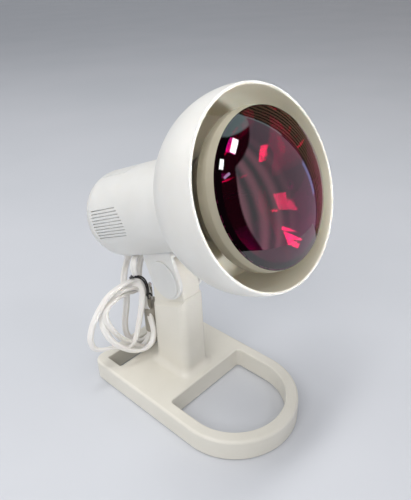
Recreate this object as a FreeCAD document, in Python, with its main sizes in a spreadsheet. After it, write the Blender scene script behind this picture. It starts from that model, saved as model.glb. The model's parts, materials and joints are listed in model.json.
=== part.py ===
"""Table-top infrared heat lamp: flared shade and barrel on a tilting yoke, upright post, ring-shaped base.

Frame: millimetres, +Z up, the lamp shines towards -Y, origin on the table under the middle of the base.
Every driving size is a cell of the sheet "sizes"; features take their numbers from it by expression.
The head's pieces are drawn in the head frame (Z along the beam, Y up, rim plane at Z = 0) and then placed.
"""
import FreeCAD
import Part
import Sketcher
import math
import os
from types import SimpleNamespace

os.makedirs("parts", exist_ok=True)
doc = FreeCAD.newDocument("heat_lamp")
V = FreeCAD.Vector

# ---------------------------------------------------------------------------------------------- sizes
SIZES = {
    # base moulding
    "base_length": 207.0, "base_width": 124.0, "base_forward": 8.5, "base_top": 22.5, "base_wall": 2.4,
    "base_edge_round": 3.0, "rear_corner": 12.0, "ring_width": 12.0, "hand_hole_corner": 4.0,
    "slot_corner": 2.0, "hand_hole_depth": 36.7, "rear_slot_depth": 21.0, "hole_edge_round": 1.5,
    "cover_thickness": 2.0, "cover_gap": 0.2, "foot_radius": 5.0, "foot_height": 1.2,
    "cover_screw_radius": 1.5, "cover_screw_length": 12.0, "cover_head_radius": 3.0, "cover_boss_radius": 4.0,
    "cover_screw_inset": 9.0, "screw_gap": 0.05,
    # post
    "post_setback": 30.0, "post_foot_width": 32.6, "post_foot_depth": 45.8, "post_taper_angle": 0.6,
    "post_corner": 7.5, "post_root_round": 8.0, "post_wall": 3.0, "ledge_front_drop": 17.4,
    "ledge_back_angle": 22.4, "ledge_side_angle": 40.0, "tongue_width": 22.0, "tongue_radius": 19.5,
    "tongue_inset": 1.0, "tongue_edge_round": 1.5,
    # tilt pivot
    "pivot_height": 128.6, "pivot_radius": 2.5, "pivot_gap": 0.05, "washer_radius": 13.0,
    "washer_thickness": 0.5, "washer_gap": 0.05, "head_tilt": 22.3, "pivot_back": 144.7, "pivot_drop": 65.9,
    "bolt_head_radius": 4.75, "bolt_head_height": 2.6, "bolt_slot_width": 1.2, "nut_width": 8.0,
    # yoke
    "ear_width": 42.0, "ear_thickness": 3.3, "ear_round": 0.8, "ear_recess": 2.2, "yoke_web": 3.0,
    "yoke_seat_gap": 0.05, "cap_half_width": 17.0, "cap_half_height": 19.0, "cap_end_radius": 15.5,
    "cap_thickness": 1.3, "cap_round": 0.9, "cap_gap": 0.2, "yoke_screw_radius": 1.5, "yoke_screw_head": 3.0,
    "yoke_screw_head_height": 1.8, "yoke_screw_pitch": 22.0, "yoke_screw_lift": 0.15,
    # shade
    "shade_rim_radius": 76.4, "shade_back_radius": 65.9, "shade_depth": 52.7, "shade_side_curve": 67.0,
    "shade_wall": 2.4, "shade_rim_round": 1.0, "shade_back_depth": 60.0, "spigot_wall": 2.2,
    "spigot_length": 10.0, "spigot_gap": 0.1,
    # barrel
    "barrel_front_radius": 40.8, "barrel_radius": 42.8, "barrel_end": 212.0, "barrel_end_round": 28.0,
    "barrel_wall": 2.4, "vent_width": 0.9, "vent_pitch": 2.9, "vent_front": 136.2, "vent_back": 183.5,
    "vent_bow": 0.03, "side_vent_rise": 1.5, "vent_crown": 3.0, "bracket_boss_radius": 5.6,
    # bulb
    "bulb_radius": 60.5, "bulb_lens_radius": 59.0, "bulb_set_forward": 2.9, "bulb_lens_rise": 15.3,
    "bulb_lens_glass": 3.0, "bulb_rim_flare": 6.0, "bulb_rim_band": 14.5, "bulb_waist_radius": 50.5,
    "bulb_waist_depth": 27.0, "bulb_neck_radius": 19.0,
    "bulb_neck_depth": 80.0, "bulb_glass": 1.6, "bulb_cap_overlap": 0.5, "bulb_cap_radius": 13.1,
    "bulb_cap_front": 91.0, "bulb_cap_length": 24.0, "bulb_contact_radius": 4.8, "bulb_contact_length": 3.0,
    "filament_radius": 0.9, "filament_length": 22.0, "filament_depth": 38.0, "support_radius": 0.6,
    "support_spacing": 7.0, "stem_radius": 5.5, "stem_length": 22.0,
    # lamp holder and its bracket
    "holder_radius": 19.5, "holder_rear_radius": 17.5, "holder_front": 94.0, "holder_collar": 14.0,
    "holder_length": 45.0, "shell_wall": 0.4, "shell_gap": 0.3, "shell_length": 20.0,
    "centre_contact_radius": 6.0, "centre_contact_thickness": 0.8, "bracket_thickness": 1.5,
    "bracket_width": 12.0, "bracket_end_margin": 3.4, "bracket_screw_offset": 35.0,
    "bracket_screw_radius": 1.5, "bracket_screw_head": 3.0, "bracket_screw_head_height": 1.8,
    "bracket_screw_length": 9.0,
    # supply cord, its gland and clamp
    "cord_width": 5.8, "gland_angle": 45.0, "gland_neck_radius": 5.4, "gland_hole_gap": 0.1,
    "gland_flange_radius": 7.0, "gland_flange_thickness": 1.5, "gland_tip_radius": 3.6,
    "gland_outside_length": 18.0, "clamp_set_back": 166.0, "clamp_width": 18.0, "clamp_length": 9.0,
    "clamp_height": 7.0, "clamp_gap": 0.05, "clamp_screw_radius": 1.2, "wire_radius": 1.2,
    "wire_offset": 13.0, "coil_front": 53.5, "coil_depth": 30.0, "coil_gap": 0.3, "coil_round": 6.0,
    "tie_radius": 13.0, "tie_wire_radius": 0.8, "tie_angle": 67.4,
    # plug
    "plug_width": 26.0, "plug_thickness": 14.0, "plug_length": 30.0, "plug_pin_radius": 2.0,
    "plug_pin_length": 19.0, "plug_pin_spacing": 18.6, "plug_boot_length": 15.0, "plug_boot_radius": 4.6,
    "plug_edge_round": 2.5, "plug_angle": 45.0, "plug_across": -2.0, "plug_back": 62.0, "plug_lift": 47.0,
}

sheet = doc.addObject("Spreadsheet::Sheet", "sizes")
for row, (name, number) in enumerate(SIZES.items(), start=1):
    sheet.set("A%d" % row, name)
    sheet.set("B%d" % row, str(number))
    sheet.setAlias("B%d" % row, name)
doc.recompute()


class Dim:
    """A size with its value and the sheet expression that gives it, so that sums of sizes stay bound."""

    def __init__(self, value, text):
        self.value = float(value)
        self.text = text

    def _join(self, other, sign, value):
        return Dim(value, "(%s %s %s)" % (self.text, sign, dim(other).text))

    def __add__(self, other):
        return self._join(other, "+", self.value + dim(other).value)

    def __sub__(self, other):
        return self._join(other, "-", self.value - dim(other).value)

    def __mul__(self, other):
        return self._join(other, "*", self.value * dim(other).value)

    def __truediv__(self, other):
        return self._join(other, "/", self.value / dim(other).value)

    def __neg__(self):
        return Dim(-self.value, "(0 - %s)" % self.text)


def dim(number):
    """A plain number as a Dim; a Dim as itself."""
    return number if isinstance(number, Dim) else Dim(number, repr(float(number)))


def size(name):
    return Dim(SIZES[name], "sizes.%s" % name)


def sine(angle):
    return Dim(math.sin(math.radians(angle.value)), "sin(%s * 1 deg)" % angle.text)


def cosine(angle):
    return Dim(math.cos(math.radians(angle.value)), "cos(%s * 1 deg)" % angle.text)


def root(number):
    return Dim(math.sqrt(number.value), "sqrt(%s)" % number.text)


S = SimpleNamespace(**{name: size(name) for name in SIZES})

# ------------------------------------------------------------------------------------- derived places
BASE_BACK = S.base_length / 2 - S.base_forward
ARC_Y = S.base_width / 2 - S.base_length / 2 - S.base_forward   # centre of the base's round front
HAND_HOLE_BACK = ARC_Y + S.hand_hole_depth
SLOT_BACK = BASE_BACK - S.ring_width
SLOT_FRONT = SLOT_BACK - S.rear_slot_depth
HOLE_HALF = S.base_width / 2 - S.ring_width
POST_Y = S.post_setback - S.base_forward
LEDGE_FRONT_Z = S.pivot_height - S.ledge_front_drop
POST_START_Z = S.base_top - S.base_wall / 2
POST_TOP_Z = LEDGE_FRONT_Z + S.tongue_edge_round
NARROWED = (POST_TOP_Z - POST_START_Z) * sine(S.post_taper_angle) / cosine(S.post_taper_angle) * 2
POST_DEPTH = S.post_foot_depth - NARROWED                     # at its top
LEDGE_REAR_Z = LEDGE_FRONT_Z - POST_DEPTH * sine(S.ledge_back_angle) / cosine(S.ledge_back_angle)
COVER_TOP = S.foot_height + S.cover_thickness
CEILING_Z = S.base_top - S.base_wall

HEAD_TURN = dim(90) - S.head_tilt
HEAD_Y = POST_Y + S.pivot_drop * sine(S.head_tilt) - S.pivot_back * cosine(S.head_tilt)
HEAD_Z = S.pivot_height + S.pivot_drop * cosine(S.head_tilt) + S.pivot_back * sine(S.head_tilt)

EAR_INSIDE = S.tongue_width / 2 + S.washer_thickness + S.washer_gap * 2
EAR_OUTSIDE = EAR_INSIDE + S.ear_thickness
NUT_HEIGHT = S.bolt_head_height - S.screw_gap

END_FLAT = S.barrel_radius - S.barrel_end_round               # flat disc at the barrel's closed end
END_TURN = S.barrel_end - S.barrel_end_round                  # depth where the end round starts
BARREL_SLOPE = (S.barrel_radius - S.barrel_front_radius) / (END_TURN - S.shade_back_depth)


def barrel_radius_at(depth):
    """Outer radius of the barrel's slightly conical wall at a depth behind the rim plane."""
    return S.barrel_front_radius + BARREL_SLOPE * (depth - S.shade_back_depth)


EAR_ROOT = root(S.barrel_radius * S.barrel_radius - EAR_OUTSIDE * EAR_OUTSIDE) - S.yoke_web
WEB_Y = -barrel_radius_at(S.pivot_back) - S.yoke_web

LENS_CURVE = (S.bulb_lens_radius * S.bulb_lens_radius + S.bulb_lens_rise * S.bulb_lens_rise) / (
    S.bulb_lens_rise * 2)
BULB_CAP_BACK = S.bulb_cap_front + S.bulb_cap_length
BULB_BACK = BULB_CAP_BACK + S.bulb_contact_length
SHELL_RADIUS = S.bulb_cap_radius + S.shell_gap + S.shell_wall
SOCKET_FLOOR = BULB_BACK + S.centre_contact_thickness
HOLDER_BACK = S.holder_front + S.holder_length
BRACKET_BACK = HOLDER_BACK + S.bracket_thickness

# the gland sits square to the round at the barrel's closed end
END_INNER = S.barrel_end_round - S.barrel_wall
GLAND_SEAT = S.barrel_end_round - root(END_INNER * END_INNER - S.gland_flange_radius * S.gland_flange_radius)
CLAMP_BORE = barrel_radius_at(S.clamp_set_back) - S.barrel_wall     # the barrel's inside at the clamp
CLAMP_Y = S.clamp_gap - root(CLAMP_BORE * CLAMP_BORE - S.clamp_width * S.clamp_width / 4)


def gland_point(out):
    """Head-frame y and z of a point on the gland's axis, a distance out from the barrel's skin."""
    reach = S.barrel_end_round + out
    return -(END_FLAT + reach * cosine(S.gland_angle)), -(END_TURN + reach * sine(S.gland_angle))


def head_point(y, z):
    """Row-frame y and z of a point that is given in the head frame."""
    return (HEAD_Y + y * sine(S.head_tilt) - z * cosine(S.head_tilt),
            HEAD_Z + y * cosine(S.head_tilt) + z * sine(S.head_tilt))


finished = []                                                 # the objects that become parts/NODE.step


# ------------------------------------------------------------------------------------------- helpers
def bind(thing, prop, amount):
    """Set a property from a size and keep it bound to the sheet."""
    thing.setExpression(prop, dim(amount).text)


def place(thing, x=0, y=0, z=0, axis=(1, 0, 0), angle=0):
    """Place an object by bound coordinates and a bound turn about a fixed axis."""
    spot = V(dim(x).value, dim(y).value, dim(z).value)
    turned = isinstance(angle, Dim)
    thing.Placement = FreeCAD.Placement(spot, FreeCAD.Rotation(V(*axis), dim(angle).value if turned else 0))
    for part_name, amount in (("Base.x", x), ("Base.y", y), ("Base.z", z), ("Rotation.Angle", angle)):
        if isinstance(amount, Dim):
            bind(thing, "Placement." + part_name, amount)
    return thing


def place_on_head(thing):
    """Carry a piece that was drawn in the head frame to the tilted head."""
    return place(thing, 0, HEAD_Y, HEAD_Z, (1, 0, 0), HEAD_TURN)


def finish(thing, node):
    thing.Label = node
    finished.append(thing)
    return thing


def new_body(name):
    return doc.addObject("PartDesign::Body", "body_" + name)


def origin_plane(body, role):
    return next(item for item in body.Origin.OriginFeatures if item.Role == role)


def pin(drawing, geo, point, x, y):
    """Hold one point of a sketch at bound coordinates."""
    for kind, axis_geo, amount in (("DistanceX", -2, dim(x)), ("DistanceY", -1, dim(y))):
        if amount.text == "0.0":
            drawing.addConstraint(Sketcher.Constraint("PointOnObject", geo, point, axis_geo))
            continue
        index = drawing.addConstraint(Sketcher.Constraint(kind, -1, 1, geo, point, amount.value))
        drawing.setExpression("Constraints[%d]" % index, amount.text)


def draw_loop(drawing, points):
    """Add one closed loop. A point is (x, y) for a straight run to the next point, or
    (x, y, "arc", cx, cy, turn) for an arc about (cx, cy), with turn +1 for anticlockwise, or
    (x, y, "bow", radius, turn) for an arc of a given radius."""
    first = drawing.GeometryCount
    for index, point in enumerate(points):
        here = V(dim(point[0]).value, dim(point[1]).value, 0)
        ahead = points[(index + 1) % len(points)]
        there = V(dim(ahead[0]).value, dim(ahead[1]).value, 0)
        if len(point) == 2:
            drawing.addGeometry(Part.LineSegment(here, there), False)
            continue
        if point[2] == "arc":
            middle = V(dim(point[3]).value, dim(point[4]).value, 0)
            radius = (here - middle).Length
            turn = point[5]
        else:
            radius = dim(point[3]).value
            turn = point[4]
            chord = there - here
            rise = math.sqrt(radius * radius - chord.Length ** 2 / 4)
            side = V(-chord.y, chord.x, 0).normalize()
            middle = (here + there) * 0.5 + side * rise * turn
        start, end = (here, there) if turn > 0 else (there, here)
        angles = [math.atan2(spot.y - middle.y, spot.x - middle.x) for spot in (start, end)]
        circle = Part.Circle(middle, V(0, 0, 1), radius)
        drawing.addGeometry(Part.ArcOfCircle(circle, angles[0], angles[1]), False)
    count = len(points)
    for index, point in enumerate(points):
        turned_back = len(point) > 2 and point[-1] < 0
        start_end = 2 if turned_back else 1
        after = points[(index + 1) % count]
        after_start = 2 if len(after) > 2 and after[-1] < 0 else 1
        follower = first + (index + 1) % count
        drawing.addConstraint(
            Sketcher.Constraint("Coincident", first + index, 3 - start_end, follower, after_start))
    for index, point in enumerate(points):
        geo = first + index
        turned_back = len(point) > 2 and point[-1] < 0
        pin(drawing, geo, 2 if turned_back else 1, point[0], point[1])
        if len(point) > 2 and point[2] == "bow":
            held = drawing.addConstraint(Sketcher.Constraint("Radius", geo, dim(point[3]).value))
            drawing.setExpression("Constraints[%d]" % held, dim(point[3]).text)
        elif len(point) > 2:
            ahead = points[(index + 1) % count]
            across = abs(dim(ahead[0]).value - dim(point[0]).value)
            along = abs(dim(ahead[1]).value - dim(point[1]).value)
            kind, amount = ("DistanceY", dim(point[4])) if across >= along else ("DistanceX", dim(point[3]))
            if amount.text == "0.0":
                middle_axis = -1 if kind == "DistanceY" else -2
                drawing.addConstraint(Sketcher.Constraint("PointOnObject", geo, 3, middle_axis))
            else:
                held = drawing.addConstraint(Sketcher.Constraint(kind, -1, 1, geo, 3, amount.value))
                drawing.setExpression("Constraints[%d]" % held, amount.text)


def draw_circle(drawing, x, y, radius):
    middle = V(dim(x).value, dim(y).value, 0)
    geo = drawing.addGeometry(Part.Circle(middle, V(0, 0, 1), dim(radius).value), False)
    pin(drawing, geo, 3, x, y)
    held = drawing.addConstraint(Sketcher.Constraint("Radius", geo, dim(radius).value))
    drawing.setExpression("Constraints[%d]" % held, dim(radius).text)


def new_sketch(body, role, name, loops=(), circles=(), lift=0):
    """A sketch on one of the body's own origin planes, lifted by a bound distance."""
    drawing = body.newObject("Sketcher::SketchObject", name)
    drawing.AttachmentSupport = (origin_plane(body, role), [""])
    drawing.MapMode = "FlatFace"
    if isinstance(lift, Dim):
        drawing.AttachmentOffset = FreeCAD.Placement(V(0, 0, lift.value), FreeCAD.Rotation())
        drawing.setExpression("AttachmentOffset.Base.z", lift.text)
    for points in loops:
        draw_loop(drawing, points)
    for x, y, radius in circles:
        draw_circle(drawing, x, y, radius)
    return drawing


def lean(drawing, up, out, angle):
    """Move a sketch up in its plane and out of it, and lean it about its own horizontal axis."""
    drawing.AttachmentOffset = FreeCAD.Placement(V(0, up.value, out.value),
                                                 FreeCAD.Rotation(V(1, 0, 0), angle.value))
    for name, amount in (("Base.y", up), ("Base.z", out), ("Rotation.Angle", angle)):
        bind(drawing, "AttachmentOffset." + name, amount)
    return drawing


def pad(body, drawing, length, symmetric=False, backwards=False):
    feature = body.newObject("PartDesign::Pad", drawing.Name + "_pad")
    feature.Profile = drawing
    bind(feature, "Length", length)
    if symmetric:
        feature.SideType = "Symmetric"
    feature.Reversed = backwards
    doc.recompute()
    return feature


def pocket(body, drawing, length=None, symmetric=False, backwards=False):
    """A pocket of a given depth, or through everything both ways when no depth is given."""
    feature = body.newObject("PartDesign::Pocket", drawing.Name + "_pocket")
    feature.Profile = drawing
    if length is None:
        feature.Type = "ThroughAll"
        feature.SideType = "Symmetric"
    else:
        bind(feature, "Length", length)
        if symmetric:
            feature.SideType = "Symmetric"
    feature.Reversed = backwards
    doc.recompute()
    return feature


def revolve(body, drawing, groove=False):
    kind = "PartDesign::Groove" if groove else "PartDesign::Revolution"
    feature = body.newObject(kind, drawing.Name + "_turn")
    feature.Profile = drawing
    feature.ReferenceAxis = (drawing, ["V_Axis"])
    feature.Angle = 360.0
    doc.recompute()
    return feature


def round_edges(body, base, radius, wanted, name):
    """Fillet the edges of a feature that a test picks by their geometry."""
    edges = ["Edge%d" % (index + 1) for index, edge in enumerate(base.Shape.Edges) if wanted(edge)]
    feature = body.newObject("PartDesign::Fillet", name)
    feature.Base = (base, edges)
    bind(feature, "Radius", radius)
    doc.recompute()
    return feature


def near(a, b, gap=0.02):
    return abs(a - b) < gap


def flat_at(edge, height):
    """True for an edge that lies wholly at one height."""
    return near(edge.BoundBox.ZMin, height) and near(edge.BoundBox.ZMax, height)


def cylinder(name, radius, height, x=0, y=0, z=0, axis=(1, 0, 0), angle=0):
    thing = doc.addObject("Part::Cylinder", name)
    bind(thing, "Radius", radius)
    bind(thing, "Height", height)
    return place(thing, x, y, z, axis, angle)


def cone(name, low_radius, top_radius, height, x=0, y=0, z=0, axis=(1, 0, 0), angle=0):
    thing = doc.addObject("Part::Cone", name)
    bind(thing, "Radius1", low_radius)
    bind(thing, "Radius2", top_radius)
    bind(thing, "Height", height)
    return place(thing, x, y, z, axis, angle)


def box(name, length, width, height, x=0, y=0, z=0):
    """A box centred on x and y that stands on z."""
    thing = doc.addObject("Part::Box", name)
    bind(thing, "Length", length)
    bind(thing, "Width", width)
    bind(thing, "Height", height)
    return place(thing, dim(x) - dim(length) / 2, dim(y) - dim(width) / 2, dim(z))


def fuse(name, things):
    thing = doc.addObject("Part::MultiFuse", name)
    thing.Shapes = things
    return thing


def cut(name, base, tool):
    thing = doc.addObject("Part::Cut", name)
    thing.Base = base
    thing.Tool = tool
    return thing


def compound(name, things):
    thing = doc.addObject("Part::Compound", name)
    thing.Links = things
    return thing


# ------------------------------------------------------------------------------------- shared outlines
def round_front(half, back, corner):
    """Outline with a half-round front, straight sides and two rounded rear corners."""
    return [
        (-half, ARC_Y, "arc", 0, ARC_Y, +1),
        (half, ARC_Y),
        (half, back - corner, "arc", half - corner, back - corner, +1),
        (half - corner, back),
        (corner - half, back, "arc", corner - half, back - corner, +1),
        (-half, back - corner),
    ]


def rounded_box(left, right, front, back, corner):
    """Rectangle with four rounded corners."""
    return [
        (right, front + corner),
        (right, back - corner, "arc", right - corner, back - corner, +1),
        (right - corner, back),
        (left + corner, back, "arc", left + corner, back - corner, +1),
        (left, back - corner),
        (left, front + corner, "arc", left + corner, front + corner, +1),
        (left + corner, front),
        (right - corner, front, "arc", right - corner, front + corner, +1),
    ]


def base_outline(inset):
    return round_front(S.base_width / 2 - inset, BASE_BACK - inset, S.rear_corner - inset)


def hand_hole(grown):
    return round_front(HOLE_HALF + grown, HAND_HOLE_BACK + grown, S.hand_hole_corner + grown)


def rear_slot(grown):
    half = HOLE_HALF + grown
    return rounded_box(-half, half, SLOT_FRONT - grown, SLOT_BACK + grown, S.slot_corner + grown)


def post_section(inset):
    """The post's section where it leaves the base, moved inwards by an inset."""
    across = S.post_foot_width / 2 - inset
    along = S.post_foot_depth / 2 - inset
    return rounded_box(-across, across, POST_Y - along, POST_Y + along, S.post_corner - inset)


def cover_screw_places():
    """Four screws through the underside cover, beside the post."""
    inset = S.base_wall + S.cover_screw_inset
    across = S.base_width / 2 - inset
    front = HAND_HOLE_BACK + inset
    back = SLOT_FRONT - inset
    return [(-across, front), (across, front), (-across, back), (across, back)]


# ------------------------------------------------------------------------------------------ base, post
def make_base_housing():
    """Ring-shaped base and upright post in one hollow moulding, open underneath."""
    body = new_body("base_housing")
    slab = pad(body, new_sketch(body, "XY_Plane", "outline", [base_outline(dim(0))], lift=S.foot_height),
               S.base_top - S.foot_height)
    top = S.base_top.value
    rounded = round_edges(body, slab, S.base_edge_round, lambda edge: flat_at(edge, top), "outer_round")
    holes = pocket(body, new_sketch(body, "XY_Plane", "holes", [hand_hole(dim(0)), rear_slot(dim(0))]))
    inner = HOLE_HALF.value + 0.1
    rounded = round_edges(
        body, holes, S.hole_edge_round,
        lambda edge: flat_at(edge, top) and edge.BoundBox.XMax < inner and edge.BoundBox.XMin > -inner
        and edge.BoundBox.YMax < SLOT_BACK.value + 0.1,
        "hole_round")
    foot = new_sketch(body, "XY_Plane", "post", [post_section(dim(0))], lift=POST_START_Z)
    post = pad(body, foot, POST_TOP_Z - POST_START_Z)
    bind(post, "TaperAngle", -S.post_taper_angle)
    doc.recompute()
    reach = S.post_foot_width.value / 2 + 1
    post = round_edges(
        body, post, S.post_root_round,
        lambda edge: flat_at(edge, top)
        and abs(edge.BoundBox.XMax) < reach and abs(edge.BoundBox.XMin) < reach
        and HAND_HOLE_BACK.value + 1 < edge.BoundBox.YMin and edge.BoundBox.YMax < SLOT_FRONT.value - 1,
        "post_root")
    hollow = [base_outline(S.base_wall), hand_hole(S.base_wall), rear_slot(S.base_wall)]
    pocket(body, new_sketch(body, "XY_Plane", "hollow", hollow, lift=S.foot_height),
           CEILING_Z - S.foot_height, backwards=True)
    core = pocket(body, new_sketch(body, "XY_Plane", "core", [post_section(S.post_wall)], lift=POST_START_Z),
                  LEDGE_REAR_Z - S.post_wall - POST_START_Z, backwards=True)
    bind(core, "TaperAngle", -S.post_taper_angle)
    through = new_sketch(body, "XY_Plane", "core_mouth", [post_section(S.post_wall)], lift=POST_START_Z)
    pocket(body, through, S.base_wall)
    make_tongue(body)
    make_cover_bosses(body)
    return finish(body, "base_housing")


def make_tongue(body):
    """The post's flat-sided top that the yoke straddles, with a sloping ledge under each ear."""
    half = POST_DEPTH / 2
    side = S.tongue_width / 2
    outer = S.post_foot_width / 2 + S.post_wall
    drop = (outer - side) * sine(S.ledge_side_angle) / cosine(S.ledge_side_angle)
    clear = LEDGE_FRONT_Z - LEDGE_REAR_Z + S.post_wall
    for name, hand in (("recess_right", 1), ("recess_left", -1)):
        recess = [(side * hand, 0), (outer * hand, -drop), (outer * hand, clear), (side * hand, clear)]
        drawing = lean(new_sketch(body, "XZ_Plane", name, [recess]),
                       (LEDGE_FRONT_Z + LEDGE_REAR_Z) / 2, -POST_Y, -S.ledge_back_angle)
        pocket(body, drawing, POST_DEPTH * 1.5, symmetric=True)
    start = LEDGE_REAR_Z
    foot = half - S.tongue_inset
    profile = [
        (POST_Y - foot, start),
        (POST_Y + foot, start),
        (POST_Y + foot, POST_TOP_Z),
        (POST_Y + S.tongue_radius, S.pivot_height, "arc", POST_Y, S.pivot_height, +1),
        (POST_Y - S.tongue_radius, S.pivot_height),
        (POST_Y - foot, POST_TOP_Z),
    ]
    tongue = pad(body, new_sketch(body, "YZ_Plane", "tongue", [profile]), S.tongue_width, symmetric=True)
    flat_side = side.value
    floor = POST_TOP_Z.value + 0.5
    round_edges(
        body, tongue, S.tongue_edge_round,
        lambda edge: near(abs(edge.BoundBox.XMin), flat_side) and near(abs(edge.BoundBox.XMax), flat_side)
        and edge.BoundBox.XLength < 0.1 and edge.BoundBox.ZMax > floor and edge.BoundBox.ZLength > 5,
        "tongue_round")
    bore = new_sketch(body, "YZ_Plane", "pivot_bore",
                      circles=[(POST_Y, S.pivot_height, S.pivot_radius + S.pivot_gap)])
    pocket(body, bore)


def make_cover_bosses(body):
    """Screw bosses that stand down from the base's ceiling to the underside cover."""
    places = cover_screw_places()
    bosses = new_sketch(body, "XY_Plane", "bosses",
                        circles=[(x, y, S.cover_boss_radius) for x, y in places], lift=COVER_TOP)
    pad(body, bosses, CEILING_Z - COVER_TOP + S.base_wall / 2)
    pilots = new_sketch(body, "XY_Plane", "pilots",
                        circles=[(x, y, S.cover_screw_radius + S.screw_gap) for x, y in places],
                        lift=COVER_TOP)
    pocket(body, pilots, S.cover_screw_length, backwards=True)


def make_base_cover():
    """Flat plate that closes the underside, with countersinks for its screws."""
    body = new_body("base_cover")
    inset = S.base_wall + S.cover_gap                         # from the base's outside and from its holes
    plate = new_sketch(body, "XY_Plane", "plate",
                       [base_outline(inset), hand_hole(inset), rear_slot(inset)], lift=S.foot_height)
    pad(body, plate, S.cover_thickness)
    holes = new_sketch(body, "XY_Plane", "screw_holes",
                       circles=[(x, y, S.cover_screw_radius + S.screw_gap) for x, y in cover_screw_places()])
    pocket(body, holes)
    sinks = [cone("sink%d" % index, S.cover_head_radius + S.screw_gap, S.cover_screw_radius + S.screw_gap,
                  S.cover_head_radius - S.cover_screw_radius, x, y, S.foot_height)
             for index, (x, y) in enumerate(cover_screw_places())]
    return finish(cut("base_cover", body, fuse("sinks", sinks)), "base_cover")


def make_base_screws():
    """Countersunk screws that hold the underside cover."""
    screws = []
    head_height = S.cover_head_radius - S.cover_screw_radius
    for index, (x, y) in enumerate(cover_screw_places()):
        head = cone("head%d" % index, S.cover_head_radius, S.cover_screw_radius, head_height,
                    x, y, S.foot_height)
        shank = cylinder("shank%d" % index, S.cover_screw_radius, S.cover_screw_length, x, y, S.foot_height)
        screws.append(fuse("cover_screw%d" % index, [head, shank]))
    return finish(compound("base_screws", screws), "base_screws")


def make_feet():
    """Stick-on rubber pads under the ring."""
    middle = S.base_width / 2 - S.ring_width / 2
    diagonal = middle * cosine(dim(45))
    back = BASE_BACK - S.ring_width
    places = [(-diagonal, ARC_Y - diagonal), (diagonal, ARC_Y - diagonal), (-middle, back), (middle, back)]
    pads = [cylinder("foot%d" % index, S.foot_radius, S.foot_height, x, y)
            for index, (x, y) in enumerate(places)]
    return finish(compound("rubber_feet", pads), "rubber_feet")


# ----------------------------------------------------------------------------------------- tilt pivot
def pivot_rod(name, radius, start, length):
    """A cylinder along the pivot axis, from a bound x towards +X."""
    return cylinder(name, radius, length, start, POST_Y, S.pivot_height, (0, 1, 0), dim(90))


def make_friction_washers():
    """Two fibre discs between the post's tongue and the yoke's ears."""
    discs = []
    for name, start in (("right", S.tongue_width / 2), ("left", -S.tongue_width / 2 - S.washer_thickness)):
        disc = pivot_rod("disc_" + name, S.washer_radius, start, S.washer_thickness)
        hole = pivot_rod("disc_hole_" + name, S.pivot_radius + S.pivot_gap, start, S.washer_thickness)
        discs.append(cut("friction_" + name, disc, hole))
    return finish(compound("friction_washers", discs), "friction_washers")


def make_pivot_bolt():
    """Slotted bolt through both ears and the tongue; its head sits in the left ear's recess."""
    seat = S.ear_recess - EAR_OUTSIDE
    head = pivot_rod("bolt_head", S.bolt_head_radius, seat - S.bolt_head_height, S.bolt_head_height)
    shank = pivot_rod("bolt_shank", S.pivot_radius, seat, (EAR_OUTSIDE - S.ear_recess) * 2 + NUT_HEIGHT)
    slot = box("bolt_slot", S.bolt_head_height, S.bolt_slot_width, S.bolt_head_radius * 3,
               seat - S.bolt_head_height, POST_Y, S.pivot_height - S.bolt_head_radius * 1.5)
    return finish(cut("pivot_bolt", fuse("bolt", [head, shank]), slot), "pivot_bolt")


def make_pivot_nut():
    """Hexagon nut held in the right ear's recess."""
    prism = doc.addObject("Part::Prism", "nut_hexagon")
    prism.Polygon = 6
    bind(prism, "Circumradius", S.nut_width / cosine(dim(30)) / 2)
    bind(prism, "Height", NUT_HEIGHT)
    start = EAR_OUTSIDE - S.ear_recess
    place(prism, start, POST_Y, S.pivot_height, (0, 1, 0), dim(90))
    hole = pivot_rod("nut_hole", S.pivot_radius + S.screw_gap, start, NUT_HEIGHT)
    return finish(cut("pivot_nut", prism, hole), "pivot_nut")


def make_cap(side, node):
    """Oval cap over the bolt's head or the nut, flat on an ear's outer face."""
    tall, wide, tip = S.cap_half_height, S.cap_half_width, S.cap_end_radius
    flank = ((tall - tip) * (tall - tip) + wide * wide - tip * tip) / ((wide - tip) * 2)
    across = flank * (tall - tip) / (flank - tip)
    along = flank * (flank - wide) / (flank - tip) - (flank - wide)
    y, z = -S.pivot_drop, -S.pivot_back
    outline = [
        (y + across, z - along, "arc", y + tall - tip, z, +1),
        (y + across, z + along, "arc", y, z - flank + wide, +1),
        (y - across, z + along, "arc", y - tall + tip, z, +1),
        (y - across, z - along, "arc", y, z + flank - wide, +1),
    ]
    body = new_body(node)
    face = EAR_OUTSIDE * side
    plate = pad(body, new_sketch(body, "YZ_Plane", "oval", [outline], lift=face), S.cap_thickness,
                backwards=side < 0)
    far = abs(face.value) + S.cap_thickness.value
    round_edges(body, plate, S.cap_round,
                lambda edge: near(abs(edge.BoundBox.XMin), far) and near(abs(edge.BoundBox.XMax), far),
                "face_round")
    well = new_sketch(body, "YZ_Plane", "well", circles=[(y, z, S.bolt_head_radius + S.cap_gap)], lift=face)
    pocket(body, well, S.bolt_head_height - S.ear_recess + S.cap_gap, backwards=side > 0)
    place_on_head(body)
    return finish(body, node)


# ------------------------------------------------------------------------------------------- tilt yoke
def yoke_screw_places():
    return [-S.pivot_back - S.yoke_screw_pitch / 2, -S.pivot_back + S.yoke_screw_pitch / 2]


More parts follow.
